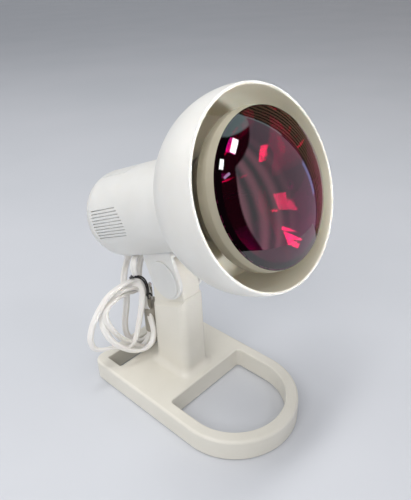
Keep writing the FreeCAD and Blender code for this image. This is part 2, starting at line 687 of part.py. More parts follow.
def make_yoke():
    """Saddle under the barrel with two round-ended ears, drawn in the head frame."""
    body = new_body("tilt_yoke")
    half = S.ear_width / 2
    front, middle, back = -S.pivot_back + half, -S.pivot_back, -S.pivot_back - half
    low = -S.pivot_drop
    ears = new_sketch(body, "YZ_Plane", "ears", [[
        (low, front, "arc", low, middle, +1),
        (low, back),
        (-EAR_ROOT, back),
        (-EAR_ROOT, front),
    ]])
    block = pad(body, ears, EAR_OUTSIDE * 2, symmetric=True)
    outer, lobe = EAR_OUTSIDE.value, low.value + 1
    round_edges(body, block, S.ear_round,
                lambda edge: near(abs(edge.BoundBox.XMin), outer) and edge.BoundBox.XLength < 0.1
                and edge.BoundBox.YMin < lobe, "ear_round")
    gap = new_sketch(body, "YZ_Plane", "ear_gap", [[
        (low - S.ear_width, back - half),
        (WEB_Y, back - half),
        (WEB_Y, front + half),
        (low - S.ear_width, front + half),
    ]])
    pocket(body, gap, EAR_INSIDE * 2, symmetric=True)
    seat = new_sketch(body, "XZ_Plane", "seat", [[
        (0, back - half),
        (barrel_radius_at(-(back - half)) + S.yoke_seat_gap, back - half),
        (barrel_radius_at(-(front + half)) + S.yoke_seat_gap, front + half),
        (0, front + half),
    ]])
    revolve(body, seat, groove=True)
    pocket(body, new_sketch(body, "YZ_Plane", "pivot_hole",
                            circles=[(low, middle, S.pivot_radius + S.pivot_gap)]))
    head_seat = new_sketch(body, "YZ_Plane", "head_seat",
                           circles=[(low, middle, S.bolt_head_radius + S.screw_gap)], lift=-EAR_OUTSIDE)
    pocket(body, head_seat, S.ear_recess, backwards=True)
    nut_seat = new_sketch(body, "YZ_Plane", "nut_seat",
                          circles=[(low, middle, S.nut_width / cosine(dim(30)) / 2 + S.screw_gap)],
                          lift=EAR_OUTSIDE)
    pocket(body, nut_seat, S.ear_recess)
    screws = new_sketch(body, "XZ_Plane", "web_holes",
                        circles=[(0, z, S.yoke_screw_radius + S.screw_gap) for z in yoke_screw_places()])
    pocket(body, screws)
    place_on_head(body)
    return finish(body, "tilt_yoke")


def make_yoke_screws():
    """Screws from inside the barrel down into the yoke's web."""
    screws = []
    for index, z in enumerate(yoke_screw_places()):
        seat = S.barrel_wall + S.yoke_screw_lift - barrel_radius_at(-z)
        shank = cylinder("yoke_shank%d" % index, S.yoke_screw_radius, S.barrel_wall + S.yoke_web, 0, seat, z,
                         (1, 0, 0), dim(90))
        head = cylinder("yoke_head%d" % index, S.yoke_screw_head, S.yoke_screw_head_height, 0,
                        seat + S.yoke_screw_head_height, z, (1, 0, 0), dim(90))
        screws.append(fuse("yoke_screw%d" % index, [shank, head]))
    return finish(place_on_head(compound("yoke_screws", screws)), "yoke_screws")


# --------------------------------------------------------------------------------------- shade, barrel
def make_shade():
    """Flared drum with a bowed side, a rounded rim and a spigot that plugs into the barrel."""
    body = new_body("shade")
    wall = S.shade_wall
    spigot = S.barrel_front_radius - S.barrel_wall - S.spigot_gap
    inside = spigot - S.spigot_wall
    profile = [
        (S.shade_rim_radius - wall, 0, "bow", S.shade_side_curve - wall, -1),
        (S.shade_back_radius - wall, wall - S.shade_depth),
        (inside, wall - S.shade_back_depth),
        (inside, -S.shade_back_depth - S.spigot_length),
        (spigot, -S.shade_back_depth - S.spigot_length),
        (spigot, -S.shade_back_depth),
        (S.barrel_front_radius, -S.shade_back_depth),
        (S.shade_back_radius, -S.shade_depth, "bow", S.shade_side_curve, +1),
        (S.shade_rim_radius, 0),
    ]
    drum = revolve(body, new_sketch(body, "XZ_Plane", "profile", [profile]))
    round_edges(body, drum, S.shade_rim_round, lambda edge: flat_at(edge, 0), "rim_round")
    place_on_head(body)
    return finish(body, "shade")


def make_barrel():
    """Round-ended barrel behind the shade, with rows of louvre slots on top and on both sides."""
    body = new_body("barrel_housing")
    wall = S.barrel_wall
    profile = [
        (S.barrel_front_radius - wall, -S.shade_back_depth),
        (S.barrel_radius - wall, -END_TURN, "arc", END_FLAT, -END_TURN, -1),
        (END_FLAT, wall - S.barrel_end),
        (0, wall - S.barrel_end),
        (0, -S.barrel_end),
        (END_FLAT, -S.barrel_end, "arc", END_FLAT, -END_TURN, +1),
        (S.barrel_radius, -END_TURN),
        (S.barrel_front_radius, -S.shade_back_depth),
    ]
    revolve(body, new_sketch(body, "XZ_Plane", "profile", [profile]))
    add_vents(body)
    add_bracket_bosses(body)
    screw_holes = new_sketch(body, "XZ_Plane", "yoke_holes", circles=[
        (0, z, S.yoke_screw_radius + S.screw_gap) for z in yoke_screw_places()])
    pocket(body, screw_holes, S.barrel_radius * 2, backwards=True)
    gland_hole = new_sketch(body, "XZ_Plane", "gland_hole",
                            circles=[(0, 0, S.gland_neck_radius + S.gland_hole_gap)])
    y, z = gland_point(dim(0))
    lean(gland_hole, z, -y, S.gland_angle)
    pocket(body, gland_hole, GLAND_SEAT * 2)
    place_on_head(body)
    return finish(body, "barrel_housing")


def vent_slot(across, crown):
    """One slot along the axis; its front end lies on a shallow bow whose crown is at a given place."""
    half = S.vent_width / 2
    front = -S.vent_front - S.vent_bow * (across - crown) * (across - crown)
    back = -S.vent_back
    return [(across - half, back), (across + half, back), (across + half, front), (across - half, front)]


def add_vents(body):
    """Ten slots through each side of the barrel and eleven through its top."""
    rise = S.side_vent_rise
    side = [vent_slot(rise + S.vent_pitch * (step - 4.5), rise - S.vent_crown) for step in range(10)]
    pocket(body, new_sketch(body, "YZ_Plane", "side_vents", side), S.barrel_radius * 2.2, symmetric=True)
    top = [vent_slot(S.vent_pitch * step, dim(0)) for step in range(-5, 6)]
    pocket(body, new_sketch(body, "XZ_Plane", "top_vents", top), S.barrel_radius * 1.1)


def bracket_ends(out):
    """The bracket lies on a diagonal, clear of the slots; both its ends at a distance from the axis."""
    reach = out * cosine(dim(45))
    return [(reach, -reach), (-reach, reach)]


def add_bracket_bosses(body):
    """Two bosses inside the barrel that the lamp holder's bracket is screwed to."""
    spots = bracket_ends(S.bracket_screw_offset)
    bosses = new_sketch(body, "XY_Plane", "bosses",
                        circles=[(x, y, S.bracket_boss_radius) for x, y in spots], lift=-BRACKET_BACK)
    pad(body, bosses, S.bracket_screw_length + S.bracket_boss_radius, backwards=True)
    pilots = new_sketch(body, "XY_Plane", "pilots",
                        circles=[(x, y, S.bracket_screw_radius + S.screw_gap) for x, y in spots],
                        lift=-BRACKET_BACK)
    pocket(body, pilots, S.bracket_screw_length)


# ------------------------------------------------------------------------------------------------ bulb
def make_bulb_lens():
    """Shallow domed front glass of the reflector bulb."""
    body = new_body("bulb_lens")
    front = S.bulb_set_forward
    middle = front + S.bulb_lens_rise - LENS_CURVE
    inner_curve = LENS_CURVE - S.bulb_lens_glass
    inner_edge = root(inner_curve * inner_curve - (front - middle) * (front - middle))
    profile = [
        (0, front + S.bulb_lens_rise - S.bulb_lens_glass, "arc", 0, middle, -1),
        (inner_edge, front),
        (S.bulb_lens_radius, front, "arc", 0, middle, +1),
        (0, front + S.bulb_lens_rise),
    ]
    revolve(body, new_sketch(body, "XZ_Plane", "profile", [profile]))
    place_on_head(body)
    return finish(body, "bulb_lens")


def make_bulb_reflector():
    """Pressed-glass reflector: a rim band that flares from the lens, a wide cone and a neck to the cap."""
    body = new_body("bulb_reflector")
    front, band = S.bulb_set_forward, S.bulb_set_forward - S.bulb_rim_band
    neck_end = S.bulb_cap_radius + S.bulb_cap_overlap
    outside = [
        (S.bulb_lens_radius, front),
        (S.bulb_radius, front - S.bulb_rim_flare),
        (S.bulb_radius, band),
        (S.bulb_waist_radius, -S.bulb_waist_depth),
        (S.bulb_neck_radius, -S.bulb_neck_depth),
        (neck_end, -S.bulb_cap_front),
    ]
    inside = [(x - S.bulb_glass, z) for x, z in reversed(outside)]
    revolve(body, new_sketch(body, "XZ_Plane", "profile", [outside + inside]))
    place_on_head(body)
    return finish(body, "bulb_reflector")


def make_bulb_cap():
    """Screw cap of the bulb, and the contact on its end."""
    cap = cylinder("cap_barrel", S.bulb_cap_radius, S.bulb_cap_length, 0, 0, -BULB_CAP_BACK)
    finish(place_on_head(compound("bulb_screw_cap", [cap])), "bulb_screw_cap")
    tip = cone("cap_tip", S.bulb_contact_radius, S.bulb_cap_radius - S.bulb_contact_length,
               S.bulb_contact_length, 0, 0, -BULB_BACK)
    return finish(place_on_head(compound("bulb_contact", [tip])), "bulb_contact")


def make_bulb_inside():
    """Glass stem, two support wires and the coiled filament, as a bar across the beam."""
    stem_front = S.stem_length - S.bulb_cap_front
    stem = cylinder("stem_rod", S.stem_radius, S.stem_length, 0, 0, -S.bulb_cap_front)
    finish(place_on_head(compound("bulb_stem", [stem])), "bulb_stem")
    wire_length = -S.filament_depth - S.filament_radius - stem_front
    wires = [cylinder("support%d" % index, S.support_radius, wire_length, x, 0, stem_front)
             for index, x in enumerate((-S.support_spacing / 2, S.support_spacing / 2))]
    finish(place_on_head(compound("filament_supports", wires)), "filament_supports")
    bar = cylinder("filament_bar", S.filament_radius, S.filament_length, -S.filament_length / 2, 0,
                   -S.filament_depth, (0, 1, 0), dim(90))
    return finish(place_on_head(compound("bulb_filament", [bar])), "bulb_filament")


# ----------------------------------------------------------------------------------------- lamp holder
def make_lampholder():
    """Stepped ceramic body with a socket, its threaded shell as a plain tube, and the centre contact."""
    body = new_body("lampholder_body")
    front, collar = -S.holder_front, -S.holder_front - S.holder_collar
    profile = [
        (SHELL_RADIUS, front),
        (SHELL_RADIUS, -SOCKET_FLOOR),
        (0, -SOCKET_FLOOR),
        (0, -HOLDER_BACK),
        (S.holder_rear_radius, -HOLDER_BACK),
        (S.holder_rear_radius, collar),
        (S.holder_radius, collar),
        (S.holder_radius, front),
    ]
    revolve(body, new_sketch(body, "XZ_Plane", "profile", [profile]))
    place_on_head(body)
    finish(body, "lampholder_body")
    back = front - S.shell_length
    tube = cylinder("shell_outside", SHELL_RADIUS, S.shell_length, 0, 0, back)
    bore = cylinder("shell_inside", SHELL_RADIUS - S.shell_wall, S.shell_length, 0, 0, back)
    finish(place_on_head(compound("lampholder_shell", [cut("shell", tube, bore)])), "lampholder_shell")
    disc = cylinder("centre_disc", S.centre_contact_radius, S.centre_contact_thickness, 0, 0, -SOCKET_FLOOR)
    return finish(place_on_head(compound("lampholder_contact", [disc])), "lampholder_contact")


def make_holder_bracket():
    """Flat strip across the barrel, screwed to its two bosses, that carries the lamp holder."""
    body = new_body("holder_bracket")
    half_long = S.bracket_screw_offset + S.bracket_end_margin
    half_wide = S.bracket_width / 2
    a = (half_long + half_wide) * cosine(dim(45))
    b = (half_long - half_wide) * cosine(dim(45))
    strip = new_sketch(body, "XY_Plane", "strip", [[(a, -b), (b, -a), (-a, b), (-b, a)][::-1]],
                       lift=-HOLDER_BACK)
    pad(body, strip, S.bracket_thickness, backwards=True)
    holes = new_sketch(body, "XY_Plane", "screw_holes",
                       circles=[(x, y, S.bracket_screw_radius + S.screw_gap)
                                for x, y in bracket_ends(S.bracket_screw_offset)])
    pocket(body, holes)
    place_on_head(body)
    return finish(body, "holder_bracket")


def make_holder_screws():
    """Two screws through the bracket into the barrel's bosses."""
    screws = []
    for index, (x, y) in enumerate(bracket_ends(S.bracket_screw_offset)):
        length = S.bracket_screw_length + S.bracket_thickness - S.screw_gap
        shank = cylinder("holder_shank%d" % index, S.bracket_screw_radius, length, x, y,
                         -HOLDER_BACK - length)
        head = cylinder("holder_head%d" % index, S.bracket_screw_head, S.bracket_screw_head_height, x, y,
                        -HOLDER_BACK)
        screws.append(fuse("holder_screw%d" % index, [shank, head]))
    return finish(place_on_head(compound("holder_screws", screws)), "holder_screws")


# --------------------------------------------------------------------------------------- cord and plug
def tube_path(points):
    """Straight runs joined by tangent arcs, each as large as its two runs allow; also the radii."""
    edges, radii, start = [], [], points[0]
    for before, corner, after in zip(points, points[1:], points[2:]):
        back, ahead = (before - corner).normalize(), (after - corner).normalize()
        half_turn = (math.pi - back.getAngle(ahead)) / 2
        inset = 0.45 * min((before - corner).Length, (after - corner).Length)
        radius = inset / math.tan(half_turn)
        radii.append(radius)
        arc_start, arc_end = corner + back * inset, corner + ahead * inset
        inward = (back + ahead).normalize()
        middle = corner + inward * (radius / math.cos(half_turn) - radius)
        edges += [Part.LineSegment(start, arc_start), Part.Arc(arc_start, middle, arc_end)]
        start = arc_end
    edges.append(Part.LineSegment(start, points[-1]))
    return Part.Wire([edge.toShape() for edge in edges]), radii


def tube(name, points, radius):
    """A round tube along a route; it prints the route's length and radii and checks the volume."""
    spots = [V(*[dim(amount).value for amount in point]) for point in points]
    path, radii = tube_path(spots)
    section = Part.Wire([Part.Circle(spots[0], spots[1] - spots[0], radius.value).toShape()])
    solid = path.makePipeShell([section], True, False)
    expected = math.pi * radius.value ** 2 * path.Length
    print("%s: length %.1f mm, radii %s, volume %.4f of section x length"
          % (name, path.Length, " ".join("%.1f" % r for r in radii), solid.Volume / expected))
    thing = doc.addObject("Part::Feature", name)
    thing.Shape = solid
    return thing


def make_gland():
    """Strain relief square to the barrel's end round, with its flange inside the wall."""
    flange = cylinder("gland_flange", S.gland_flange_radius, S.gland_flange_thickness, 0, 0,
                      -GLAND_SEAT - S.gland_flange_thickness)
    neck = cylinder("gland_neck", S.gland_neck_radius, GLAND_SEAT, 0, 0, -GLAND_SEAT)
    sleeve = cone("gland_sleeve", S.gland_neck_radius, S.gland_tip_radius, S.gland_outside_length)
    whole = fuse("gland", [flange, neck, sleeve])
    y, z = gland_point(dim(0))
    place(whole, 0, y, z, (1, 0, 0), S.gland_angle + 90)
    return finish(place_on_head(compound("cord_gland", [whole])), "cord_gland")


def make_cord_clamp():
    """Saddle on the barrel's floor that grips the cord, and its two screws."""
    middle = CLAMP_Y + S.clamp_height / 2
    block = box("clamp_block", S.clamp_width, S.clamp_height, S.clamp_length, 0, middle,
                -S.clamp_set_back - S.clamp_length)
    bore = cylinder("clamp_bore", S.cord_width / 2, S.clamp_length, 0, middle,
                    -S.clamp_set_back - S.clamp_length)
    across = S.clamp_width / 2 - S.clamp_screw_radius * 2
    z = -S.clamp_set_back - S.clamp_length / 2
    top = CLAMP_Y + S.clamp_height
    holes = [cylinder("clamp_hole%d" % index, S.clamp_screw_radius + S.screw_gap, S.clamp_height, x, top, z,
                      (1, 0, 0), dim(90)) for index, x in enumerate((-across, across))]
    clamp = cut("clamp", block, fuse("clamp_cuts", [bore] + holes))
    finish(place_on_head(compound("cord_clamp", [clamp])), "cord_clamp")
    screws = []
    for index, x in enumerate((-across, across)):
        shank = cylinder("clamp_shank%d" % index, S.clamp_screw_radius, S.clamp_height, x, top, z,
                         (1, 0, 0), dim(90))
        head = cylinder("clamp_head%d" % index, S.clamp_screw_radius * 1.9, S.clamp_screw_radius, x,
                        top + S.clamp_screw_radius, z, (1, 0, 0), dim(90))
        screws.append(fuse("clamp_screw%d" % index, [shank, head]))
    return finish(place_on_head(compound("clamp_screws", screws)), "clamp_screws")


def make_inner_wiring():
    """The cord from the gland through the clamp, and its two wires to the lamp holder's back."""
    middle = CLAMP_Y + S.clamp_height / 2
    back = -S.clamp_set_back - S.clamp_length
    inner_y, inner_z = gland_point(-GLAND_SEAT - S.gland_flange_thickness)
    lead_y, lead_z = gland_point(-GLAND_SEAT - S.gland_flange_thickness - S.gland_neck_radius * 1.5)
    route = [
        (0, inner_y, inner_z),
        (0, lead_y, lead_z),
        (0, middle + S.clamp_height / 2, back - S.clamp_length * 1.6),
        (0, middle, back - S.clamp_length / 2),
        (0, middle, -S.clamp_set_back),
    ]
    cord = tube("inner_run", route, S.cord_width / 2)
    finish(place_on_head(compound("inner_cord", [cord])), "inner_cord")
    terminal = S.wire_offset * cosine(dim(45))
    for node, side in (("live_wire", +1), ("neutral_wire", -1)):
        wire = tube(node + "_run", [
            (S.wire_radius * side, middle, -S.clamp_set_back),
            (S.wire_radius * side, middle, -S.clamp_set_back + S.wire_radius * 4),
            (S.wire_radius * 3 * side, middle + S.clamp_height, -S.clamp_set_back + S.clamp_length * 1.5),
            (terminal * side, terminal * side, -HOLDER_BACK - S.clamp_length * 1.3),
            (terminal * side, terminal * side, -HOLDER_BACK),
        ], S.wire_radius)
        finish(place_on_head(compound(node, [wire])), node)


def make_supply_cord():
    """The free cord: a lead from the gland to the tied bundle, and a bight that stands up from it."""
    tip_y, tip_z = head_point(*gland_point(S.gland_outside_length))
    out_y, out_z = head_point(*gland_point(S.gland_outside_length + S.cord_width))
    lead = tube("lead_run", [
        (0, tip_y, tip_z), (0, out_y, out_z), (-2.6, 98.6, 104.4), (-8.0, 95.5, 97.6),
        (-14.4, 88.0, 93.6), (-17.4, 80.6, 91.0),
    ], S.cord_width / 2)
    bight = tube("bight_run", [
        (-12.0, 60.0, 105.0), (-12.0, 60.0, 122.1), (-6.8, 65.9, 129.8), (0.8, 74.1, 129.8),
        (6.0, 80.0, 122.1), (6.0, 80.0, 105.0),
    ], S.cord_width / 2)
    finish(compound("supply_cord_lead", [lead, bight]), "supply_cord_lead")
    body = new_body("supply_cord_coil")
    low = S.base_top + S.coil_gap
    outline = [(-8.0, 113.0), (-22.0, 113.0), (-56.0, 98.0), (-66.0, 70.0), (-60.0, 46.0), (-34.0, low),
               (-12.0, low), (3.0, 40.0), (10.0, 60.0), (10.0, 104.0)]
    slab = pad(body, new_sketch(body, "XZ_Plane", "outline", [outline], lift=-S.coil_front), S.coil_depth,
               backwards=True)
    ends = (S.coil_front.value, S.coil_front.value + S.coil_depth.value)
    round_edges(body, slab, S.coil_round,
                lambda edge: any(near(edge.BoundBox.YMin, end) and near(edge.BoundBox.YMax, end)
                                 for end in ends), "coil_round")
    finish(body, "supply_cord_coil")


def make_cord_tie():
    """Coated wire twisted round the bundle's neck."""
    ring = doc.addObject("Part::Torus", "tie_ring")
    bind(ring, "Radius1", S.tie_radius)
    bind(ring, "Radius2", S.tie_wire_radius)
    place(ring, -8.0, 62.0, 102.0, (0, 1, 0), S.tie_angle)
    return finish(compound("cord_tie", [ring]), "cord_tie")


def make_plug():
    """Flat two-pin plug standing behind the post, pins up, with its boot below."""
    body = new_body("plug_body")
    half_wide, half_thick = S.plug_width / 2, S.plug_thickness / 2
    corner = half_thick - S.plug_edge_round / 2
    block = pad(body, new_sketch(body, "XY_Plane", "section",
                                 [rounded_box(-half_wide, half_wide, -half_thick, half_thick, corner)]),
                S.plug_length)
    ends = (0.0, S.plug_length.value)
    round_edges(body, block, S.plug_edge_round,
                lambda edge: any(flat_at(edge, height) for height in ends), "end_round")
    spot = (S.plug_across, S.plug_back)
    place(body, *spot, S.plug_lift, (0, 0, 1), S.plug_angle)
    finish(body, "plug_body")
    boot = cone("boot", S.cord_width / 2 + S.cord_width / 20, S.plug_boot_radius, S.plug_boot_length, *spot,
                S.plug_lift - S.plug_boot_length)
    finish(compound("plug_boot", [boot]), "plug_boot")
    reach = S.plug_pin_spacing / 2
    pins = []
    for index, side in enumerate((-1, 1)):
        x, y = reach * side * cosine(S.plug_angle), reach * side * sine(S.plug_angle)
        foot = S.plug_lift + S.plug_length
        shaft = cylinder("pin%d" % index, S.plug_pin_radius, S.plug_pin_length - S.plug_pin_radius,
                         S.plug_across + x, S.plug_back + y, foot)
        nose = cone("nose%d" % index, S.plug_pin_radius, S.plug_pin_radius / 2, S.plug_pin_radius,
                    S.plug_across + x, S.plug_back + y, foot + S.plug_pin_length - S.plug_pin_radius)
        pins.append(fuse("plug_pin%d" % index, [shaft, nose]))
    return finish(compound("plug_pins", pins), "plug_pins")


# ------------------------------------------------------------------------------------------- the lamp
make_base_housing()
make_base_cover()
make_base_screws()
make_feet()
make_friction_washers()
make_pivot_bolt()
make_pivot_nut()
make_cap(-1, "pivot_cap_left")
make_cap(+1, "pivot_cap_right")
make_yoke()
make_yoke_screws()
make_shade()
make_barrel()
make_bulb_lens()
make_bulb_reflector()
make_bulb_cap()
make_bulb_inside()
make_lampholder()
make_holder_bracket()
make_holder_screws()
make_gland()
make_cord_clamp()
make_inner_wiring()
make_supply_cord()
make_cord_tie()
make_plug()
doc.recompute()

failed = [thing.Name for thing in doc.Objects if "Invalid" in thing.State or "Error" in thing.State]
failed += [thing.Label for thing in finished if thing.Shape.isNull() or not thing.Shape.isValid()]
if failed:
    raise SystemExit("failed: " + ", ".join(failed))
for thing in finished:
    thing.Shape.exportStep("parts/%s.step" % thing.Label)
print("%d pieces" % len(finished))
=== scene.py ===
"""Looks of the infrared heat lamp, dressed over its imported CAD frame.

Metres in the row frame: +Z up, the lamp shines towards -Y. Lengths named *_MM are millimetres.
"""
import json
import math

import bpy
from mathutils import Matrix, Vector


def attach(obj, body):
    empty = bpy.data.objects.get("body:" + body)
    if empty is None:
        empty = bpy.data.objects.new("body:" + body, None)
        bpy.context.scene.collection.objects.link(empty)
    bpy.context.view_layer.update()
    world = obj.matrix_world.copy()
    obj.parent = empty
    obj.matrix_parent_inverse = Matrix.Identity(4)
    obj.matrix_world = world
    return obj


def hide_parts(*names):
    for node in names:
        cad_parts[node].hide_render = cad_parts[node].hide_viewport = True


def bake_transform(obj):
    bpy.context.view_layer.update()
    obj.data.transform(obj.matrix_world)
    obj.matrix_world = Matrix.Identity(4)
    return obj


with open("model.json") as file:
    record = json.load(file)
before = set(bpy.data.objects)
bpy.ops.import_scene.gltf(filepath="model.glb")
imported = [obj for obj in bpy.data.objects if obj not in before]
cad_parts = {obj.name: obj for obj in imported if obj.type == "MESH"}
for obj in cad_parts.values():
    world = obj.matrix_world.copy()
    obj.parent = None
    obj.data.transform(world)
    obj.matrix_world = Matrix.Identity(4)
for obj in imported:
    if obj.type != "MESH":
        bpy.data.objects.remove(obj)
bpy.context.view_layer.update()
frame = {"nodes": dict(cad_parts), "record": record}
NODES = frame["nodes"]
SLOT_OF = {part["node"]: part["material_slot"] for part in frame["record"]["subparts"]}
MM = 0.001


# ------------------------------------------------------------------------------------------- camera
CAMERA_PLACE_MM = (-279.3, -289.5, 389.94)
CAMERA_AZIMUTH = math.radians(-45.94)
CAMERA_ELEVATION = math.radians(29.62)
CAMERA_ROLL = math.radians(-2.28)
CAMERA_LENS_MM = 37.07
SENSOR_WIDTH_MM = 36.0


def make_camera():
    """A camera at the photograph's place, turned by azimuth, elevation and a small roll."""
    azimuth, elevation = CAMERA_AZIMUTH, CAMERA_ELEVATION
    back = Vector((math.sin(azimuth) * math.cos(elevation), -math.cos(azimuth) * math.cos(elevation),
                   math.sin(elevation)))
    level = Vector((math.cos(azimuth), math.sin(azimuth), 0))
    above = back.cross(level)
    right = math.cos(CAMERA_ROLL) * level + math.sin(CAMERA_ROLL) * above
    up = back.cross(right)
    camera = bpy.data.objects.new("camera", bpy.data.cameras.new("camera"))
    camera.data.lens = CAMERA_LENS_MM
    camera.data.sensor_width = SENSOR_WIDTH_MM
    camera.data.clip_start = 0.01
    turned = Matrix((right, up, back)).transposed().to_4x4()
    camera.matrix_world = Matrix.Translation(Vector(CAMERA_PLACE_MM) * MM) @ turned
    bpy.context.scene.collection.objects.link(camera)
    bpy.context.scene.camera = camera


# ---------------------------------------------------------------------------------------- materials
def linear(red, green, blue):
    """A screen colour, 0 to 255, as the linear colour that shaders take."""
    parts = [part / 255 for part in (red, green, blue)]
    return [part / 12.92 if part <= 0.04045 else ((part + 0.055) / 1.055) ** 2.4 for part in parts]


def new_material(name):
    material = bpy.data.materials.new(name)
    material.use_nodes = True
    return material, material.node_tree.nodes["Principled BSDF"]


def add_node(material, kind, **settings):
    """A new node in the tree of a material or of the world."""
    node = material.node_tree.nodes.new(kind)
    for name, value in settings.items():
        setattr(node, name, value)
    return node


def noise(material, scale, detail=3.0, roughness=0.5):
    """Noise over the row frame, so that one grain runs through every piece."""
    place = add_node(material, "ShaderNodeTexCoord")
    texture = add_node(material, "ShaderNodeTexNoise")
    texture.inputs["Scale"].default_value = scale
    texture.inputs["Detail"].default_value = detail
    texture.inputs["Roughness"].default_value = roughness
    material.node_tree.links.new(place.outputs["Object"], texture.inputs["Vector"])
    return texture.outputs["Fac"]


def ramp(material, factor, stops):
    """A colour ramp over a factor; stops are (place, linear colour)."""
    node = add_node(material, "ShaderNodeValToRGB")
    elements = node.color_ramp.elements
    while len(elements) < len(stops):
        elements.new(0.5)
    for element, (place, colour) in zip(elements, stops):
        element.position = place
        element.color = (*colour, 1.0)
    material.node_tree.links.new(factor, node.inputs["Fac"])
    return node.outputs["Color"]


def between(material, factor, low, high):
    """The factor's middle half stretched from a low to a high number."""
    node = add_node(material, "ShaderNodeMapRange")
    node.inputs["From Min"].default_value = 0.25
    node.inputs["From Max"].default_value = 0.75
    node.inputs["To Min"].default_value = low
    node.inputs["To Max"].default_value = high
    material.node_tree.links.new(factor, node.inputs["Value"])
    return node.outputs["Result"]


def bump(material, shader, height, strength, depth_mm):
    node = add_node(material, "ShaderNodeBump")
    node.inputs["Strength"].default_value = strength
    node.inputs["Distance"].default_value = depth_mm * MM
    material.node_tree.links.new(height, node.inputs["Height"])
    material.node_tree.links.new(node.outputs["Normal"], shader.inputs["Normal"])


GRAIN_STRENGTH = 0.35


def mottled(name, dark, light, rough_low, rough_high, grain=900.0, grain_depth_mm=0.03, patch=22.0,
            specular=0.5, metallic=0.0):
    """The common finish: a slow drift between two near colours, uneven gloss and a fine grain."""
    material, shader = new_material(name)
    links = material.node_tree.links
    drift = noise(material, patch, detail=4.0)
    links.new(ramp(material, drift, [(0.3, dark), (0.7, light)]), shader.inputs["Base Color"])
    gloss = noise(material, patch * 4, detail=2.0)
    links.new(between(material, gloss, rough_low, rough_high), shader.inputs["Roughness"])
    bump(material, shader, noise(material, grain, detail=2.0), GRAIN_STRENGTH, grain_depth_mm)
    shader.inputs["Specular IOR Level"].default_value = specular
    shader.inputs["Metallic"].default_value = metallic
    return material


HEAD_ORIGIN_MM = (0.0, -87.4, 244.5)      # on the beam's axis, at the bulb's rim
BEAM = (0.0, -0.9252, 0.3795)             # the way the lamp shines at rest


def compute(material, kind, first, second=0.0):
    """One Math step on one or two values, each a socket or a number."""
    node = add_node(material, "ShaderNodeMath", operation=kind)
    for place, value in zip(node.inputs, (first, second)):
        if isinstance(value, (int, float)):
            place.default_value = value
        else:
            material.node_tree.links.new(value, place)
    return node.outputs["Value"]


def vector_step(material, kind, first, second):
    """One Vector Math node between two sockets or constants."""
    node = add_node(material, "ShaderNodeVectorMath", operation=kind)
    for place, value in zip(node.inputs, (first, second)):
        if isinstance(value, (tuple, Vector)):
            place.default_value = value
        else:
            material.node_tree.links.new(value, place)
    return node


def beam_places(material):
    """How far forward of the bulb's rim along the beam, and 1 where the surface faces out from its axis."""
    place = add_node(material, "ShaderNodeTexCoord")
    origin = tuple(part * MM for part in HEAD_ORIGIN_MM)
    arm = vector_step(material, "SUBTRACT", place.outputs["Object"], origin).outputs["Vector"]
    forward = vector_step(material, "DOT_PRODUCT", arm, BEAM).outputs["Value"]
    along = vector_step(material, "PROJECT", arm, BEAM).outputs["Vector"]
    outward = vector_step(material, "SUBTRACT", arm, along).outputs["Vector"]
    facing = vector_step(material, "DOT_PRODUCT", place.outputs["Normal"], outward).outputs["Value"]
    return forward, compute(material, "GREATER_THAN", facing, 0.0)


MIX_FIRST, MIX_SECOND, MIX_RESULT = 6, 7, 2    # a Mix node's colour sockets


def choose(material, factor, first, second):
    """The second colour where the factor is 1, the first where it is 0."""
    node = add_node(material, "ShaderNodeMix", data_type="RGBA")
    material.node_tree.links.new(factor, node.inputs["Factor"])
    for place, value in ((node.inputs[MIX_FIRST], first), (node.inputs[MIX_SECOND], second)):
        if isinstance(value, (tuple, list)):
            place.default_value = (*value, 1.0)
        else:
            material.node_tree.links.new(value, place)
    return node.outputs[MIX_RESULT]


SHADE_BACK_MM = -75.0         # how far back along the beam the shade's bowl reaches


def head_shell():
    """Cool off-white moulded plastic of the head. Inside the shade it is painted paler and warmer: painted
    light that brightens the inside where less light reaches.
    """
    material = mottled("head_shell", linear(222, 221, 216), linear(229, 228, 224), 0.30, 0.40)
    shader = material.node_tree.nodes["Principled BSDF"]
    outside = shader.inputs["Base Color"].links[0].from_socket
    forward, facing = beam_places(material)
    in_shade = compute(material, "GREATER_THAN", forward, SHADE_BACK_MM * MM)
    painted_light_inside = compute(material, "MULTIPLY", in_shade, compute(material, "SUBTRACT", 1.0, facing))
    # painted light: a paler, warmer colour for the inside of the shade, brightening it where less light
    # reaches
    inside = tuple(linear(244, 239, 225))
    material.node_tree.links.new(choose(material, painted_light_inside, outside, inside), shader.inputs["Base Color"])
    shader.inputs["Subsurface Weight"].default_value = 0.5
    shader.inputs["Subsurface Radius"].default_value = (1.0, 0.9, 0.8)
    shader.inputs["Subsurface Scale"].default_value = 0.004
    return material


def stand_shell():
    """The same plastic aged a little warmer, as the base and post are."""
    return mottled("stand_shell", linear(225, 221, 209), linear(232, 228, 217), 0.34, 0.44)


def cover_plate():
    return mottled("cover_plate", linear(208, 203, 188), linear(216, 211, 197), 0.5, 0.62, grain=600.0)


def lens_glass():
    """Dark ruby glass: clear, mirror-smooth and so deep that only strong light comes back through it."""
    material, shader = new_material("lens_glass")
    ripple = noise(material, 45.0, detail=1.0)
    deep = ramp(material, ripple, [(0.35, (0.46, 0.003, 0.17)), (0.65, (0.52, 0.004, 0.19))])
    material.node_tree.links.new(deep, shader.inputs["Base Color"])
    bump(material, shader, ripple, 0.04, 0.2)
    shader.inputs["Roughness"].default_value = 0.0
    shader.inputs["Transmission Weight"].default_value = 1.0
    shader.inputs["IOR"].default_value = 1.9
    return material


BAND_BACK_MM = -12.5          # where the bulb's rim band, painted pale, ends and its silvered cone, painted dark, begins
SILVER_SHINE = 0.95
SILVER_ROUGH = 0.04
BAND_EXTRA_ROUGH = 0.3


